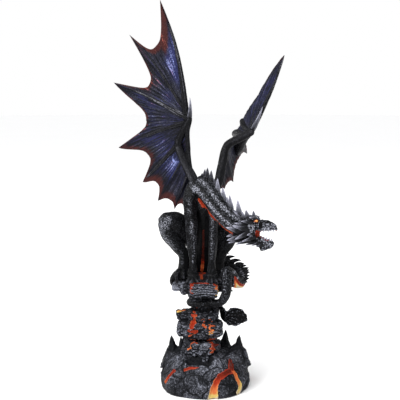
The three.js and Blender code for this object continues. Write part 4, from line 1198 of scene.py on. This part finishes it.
def make_wing(name, wing):
    """Builds a wing's membrane, its finger bones, arm and thumb. The membrane's plate is closed:
    each column runs out along the front and home along the back."""
    away = unit(np.array(wing["away"], float))
    middles, (f, s, panel, relief) = membrane(wing, away)
    half = MEMBRANE / 2 * (1 - 0.62 * step_up(s, 0.9, 1.0)) * (0.3 + 0.7 * step_up(s, 0, 0.04))
    thick = half[..., None] * away
    plate = np.concatenate([middles - thick, (middles + thick)[:, ::-1]], axis=1)
    mesh, _ = joined(name + "_membrane", [plate])

    def both_faces(values):
        """A field on the front and the back of the sheet, and on the two end middles."""
        flat = np.concatenate([values, values[:, ::-1]], axis=1).reshape(-1)
        return np.concatenate([flat, [flat[0], flat[-1]]])

    edge = np.where(panel < 3, step_up(s, 0.88, 0.98), step_up(s, 0.78, 0.96))
    beside_bone = bell(np.minimum(f, 1 - f), 0, 0.1)
    blue_and_sheen = wing["blue_and_sheen"](panel, f, s)
    rough = noise(middles.reshape(-1, 3), 26, 91).reshape(s.shape)
    load_and_painted_light = -0.08 - 0.12 * (panel >= 2) + 0.25 * rough + 0.45 * blue_and_sheen - 0.3 * beside_bone
    fields = {"raised": 0.55 * relief, "load_and_painted_light": load_and_painted_light, "blue_and_sheen": blue_and_sheen,
              "rust": edge * (0.95 - 0.4 * beside_bone) + wing["rust"](panel, f, s),
              "across": 30 * (panel + f), "outward": 2.5 * s}
    piece(name + "_membrane", mesh, stretched, name, {
        field: both_faces(values) for field, values in fields.items()})

    mesh = cast(name + "_bones", bones_of(wing, away), 0.8, 1)
    points, normals = points_of(mesh)
    near, _ = pebbles(points, 2.8, 96)
    wrinkles = 0.25 * rubble(points * [1, 1, 0.4], 5, 95, 2) + 0.25 * (0.5 - near)
    points, normals = carve(mesh, points, normals, wrinkles)
    # Painted highlights along the bones, from the wing's highlight strokes.
    bright = brightest(points, normals, wing["lights"], 10, 0.8)
    piece(name + "_bones", mesh, bone_paint, name, {
        "raised": np.clip(stand_out(mesh, 8, 0.6), -0.8, 0.9),
        "load_and_painted_light": -0.34 + bright + 0.12 * noise(points, 18, 5), "lava": 0 * bright, "warmth": 0 * bright})
    thumb = dict(radius=4, flat=0.8, ridges=2, depth=0.08, **wing["thumb"])
    horns(name + "_thumb", [thumb], name, 0.2)


# Bones are [half width, half height, where along the finger they start]; scallops [depth, place of
# the lowest point, 1 if cut towards the panel's own inner edge]; pleats [number, height].
make_wing("wing_right", {
    "hub": [-25, 18, 462],
    "inner": [[-26, 18, 472], [-28, 18, 468], [-29, 18, 463], [-29, 18, 457], [-26, 17, 438], [-26, 15, 412],
              [-22, 12, 386], [-15, 12, 362]],
    "tips": [[-74, 44, 659.5], [-128, 66, 603], [-157, 72, 522], [-150.5, 70, 409], [-107.5, 54, 350.5],
             [-80.5, 40, 319], [-51, 26, 306], [-35, 18, 312]],
    "bows": [[6.5, 0, 7.8], [3, 0, 3.6], [2.5, 0, 3], [3, 0, 3.6], [-1.5, 0, -1.8], [1, 0, 1.2], [0, 0, 0],
             [0, 0, 0]],
    "bones": [[5.6, 4.4, 0], [3.4, 2.8, 0], [4.0, 3.6, 0], [4.4, 3.2, 0], [5.0, 3.6, 0], [2.6, 2.2, 0],
              [2.2, 2.0, 0.2], [0, 0, 0]],
    "roots": {4: [-43, 21, 420]},
    "scallops": [[0.29, 0.5, 0], [0.44, 0.43, 0], [0.46, 0.55, 0], [0.3, 0.6, 0], [0.15, 0.65, 0],
                 [0.08, 0.6, 0], [0.05, 0.5, 0]],
    "pleats": [[5, 0.35], [6, 0.5], [9, 0.95], [9, 0.9], [7, 0.6], [3, 0.4], [1, 0.2]],
    "away": [0.35, 0.94, 0],
    "arm": [[-12, 6, 345, 9], [-19, 9, 362, 8], [-36, 17, 395, 7], [-44, 22, 421, 6.5], [-37, 20, 440, 5.4],
            [-25, 18, 462, 6]],
    "extras": [[[-18, 9, 356, 4, 3], [-25, 13, 385, 4.5, 3.2], [-27, 15, 412, 4, 3.2], [-28, 16, 440, 4, 3],
                [-25, 18, 462, 5, 5], [-25, 18, 470, 3, 3]]],
    # Blue paint and painted sheen, panel by panel.
    "blue_and_sheen": lambda panel, f, s: (
        1.2 * (panel == 0) * bell(f, 0.22, 0.34) * bell(s, 0.58, 0.24)
        + 0.42 * (panel == 1) * bell(s, 0.45, 0.3)
        + 0.3 * (panel == 2) + 0.5 * (panel == 3) * bell(s, 0.55, 0.28) + 0.4 * (panel == 5) * (1 - s)
        + (panel == 4) * (0.85 * bell(s, 0.5, 0.25) + 0.7 * bell(s, 0.46 - (f - 0.5) ** 2, 0.02)
                          + 0.6 * bell(s, 0.26 - (f - 0.5) ** 2, 0.02))),
    "rust": lambda panel, f, s: (
        1.3 * (panel == 0) * bell(s, 0.86, 0.1) * bell(f, 0.2, 0.2) + 0.4 * (panel == 0) * bell(s, 0.97, 0.1)
        + 0.3 * (panel == 1) * bell(s, 0.85, 0.15) + 0.3 * (panel >= 4) * step_up(s, 0.6, 0.95)),
    # Painted highlight strokes along the finger bones and the arm.
    "lights": [[0.75, [[-145, 70, 510, 3], [-110, 60, 500, 3.4], [-70, 44, 488, 3], [-36, 20, 470, 3]]],
               [0.5, [[-60, 30, 610, 3], [-44, 24, 560, 3], [-34, 18, 510, 3]]],
               [0.35, [[-44, 18, 414, 3], [-32, 12, 385, 3], [-20, 6, 360, 3]]],
               [0.4, [[-128, 62, 600, 4], [-100, 52, 560, 3]]]],
    "thumb": dict(root=[-25, 17, 464], tip=[-24, 8, 499], bend=(1.2, -1.5, 0)),
})
make_wing("wing_left", {
    "hub": [82, 30, 441.5],
    "inner": [[86, 36, 446], [84, 37, 445], [82, 38, 444], [77, 38, 440], [70, 36, 434], [62, 36, 429],
              [36, 36, 408], [30, 26, 384], [22, 14, 350]],
    "tips": [[151, 190, 571], [127, 200, 538], [106.5, 203, 500], [73, 184, 449], [57, 162, 426],
             [79, 124, 393], [52, 75, 347], [36, 45, 339], [26, 22, 342]],
    "bows": [[6, -3, 6], [2, 0, 1], [-2, 0, 1], [-7, 0, 3], [-6, 0, 5], [-4, 0, -4], [0, 0, 0], [0, 0, 0],
             [0, 0, 0]],
    "bones": [[5.0, 4.6, 0], [0, 0, 0], [3.2, 3.2, 0], [4.6, 4.6, 0], [4.4, 4.4, 0], [3.4, 3.4, 0],
              [2.0, 2.0, 0], [1.6, 1.6, 0], [0, 0, 0]],
    "roots": {},
    "scallops": [[-0.02, 0.5, 0], [-0.02, 0.5, 0], [-0.04, 0.5, 0], [0.1, 0.5, 0], [0.3, 0.5, 0],
                 [0.34, 0.36, 1], [0.12, 0.5, 1], [0.05, 0.5, 1]],
    "pleats": [[2, 0.3], [3, 0.35], [6, 0.5], [9, 0.8], [9, 0.8], [7, 0.6], [3, 0.4], [1, 0.2]],
    "away": [-0.85, 0.35, 0.35],
    "arm": [[14, 6, 338, 9], [23.5, 13, 352, 8], [32, 28, 388, 7.4], [39.5, 38, 415, 6.5], [60, 35, 428, 7],
            [80, 30, 440, 7], [84, 30, 443, 4]],
    "extras": [[[80, 31, 441, 4], [73, 37, 434, 8], [66, 46, 424, 9], [62, 58, 410, 8], [60, 72, 400, 6],
                [62, 84, 396, 2]],
               [[74, 50, 440, 5], [73, 110, 447, 6.4], [73, 150, 449, 6.6], [73, 172, 449, 5],
                [74, 182, 448, 1]],
               [[66, 50, 433, 6], [61, 110, 431, 7.5], [59, 140, 428, 7.4], [58.5, 158, 426, 5.5],
                [59, 166, 425, 1]]],
    # Blue paint and painted sheen, panel by panel.
    "blue_and_sheen": lambda panel, f, s: 0.3 * (panel < 6) * bell(s, 0.5, 0.3) * (1 + 0.6 * (panel < 3)),
    "rust": lambda panel, f, s: 0.2 * (panel >= 5) * step_up(s, 0.6, 0.95),
    # A painted highlight stroke along the leading bone.
    "lights": [[1.2, [[92, 40, 455, 5], [104, 60, 490, 5], [118, 95, 520, 4]]]],
    "thumb": dict(root=[83, 29, 444], tip=[98, 10, 483], bend=(1, -1.5, 0)),
})

low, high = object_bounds()
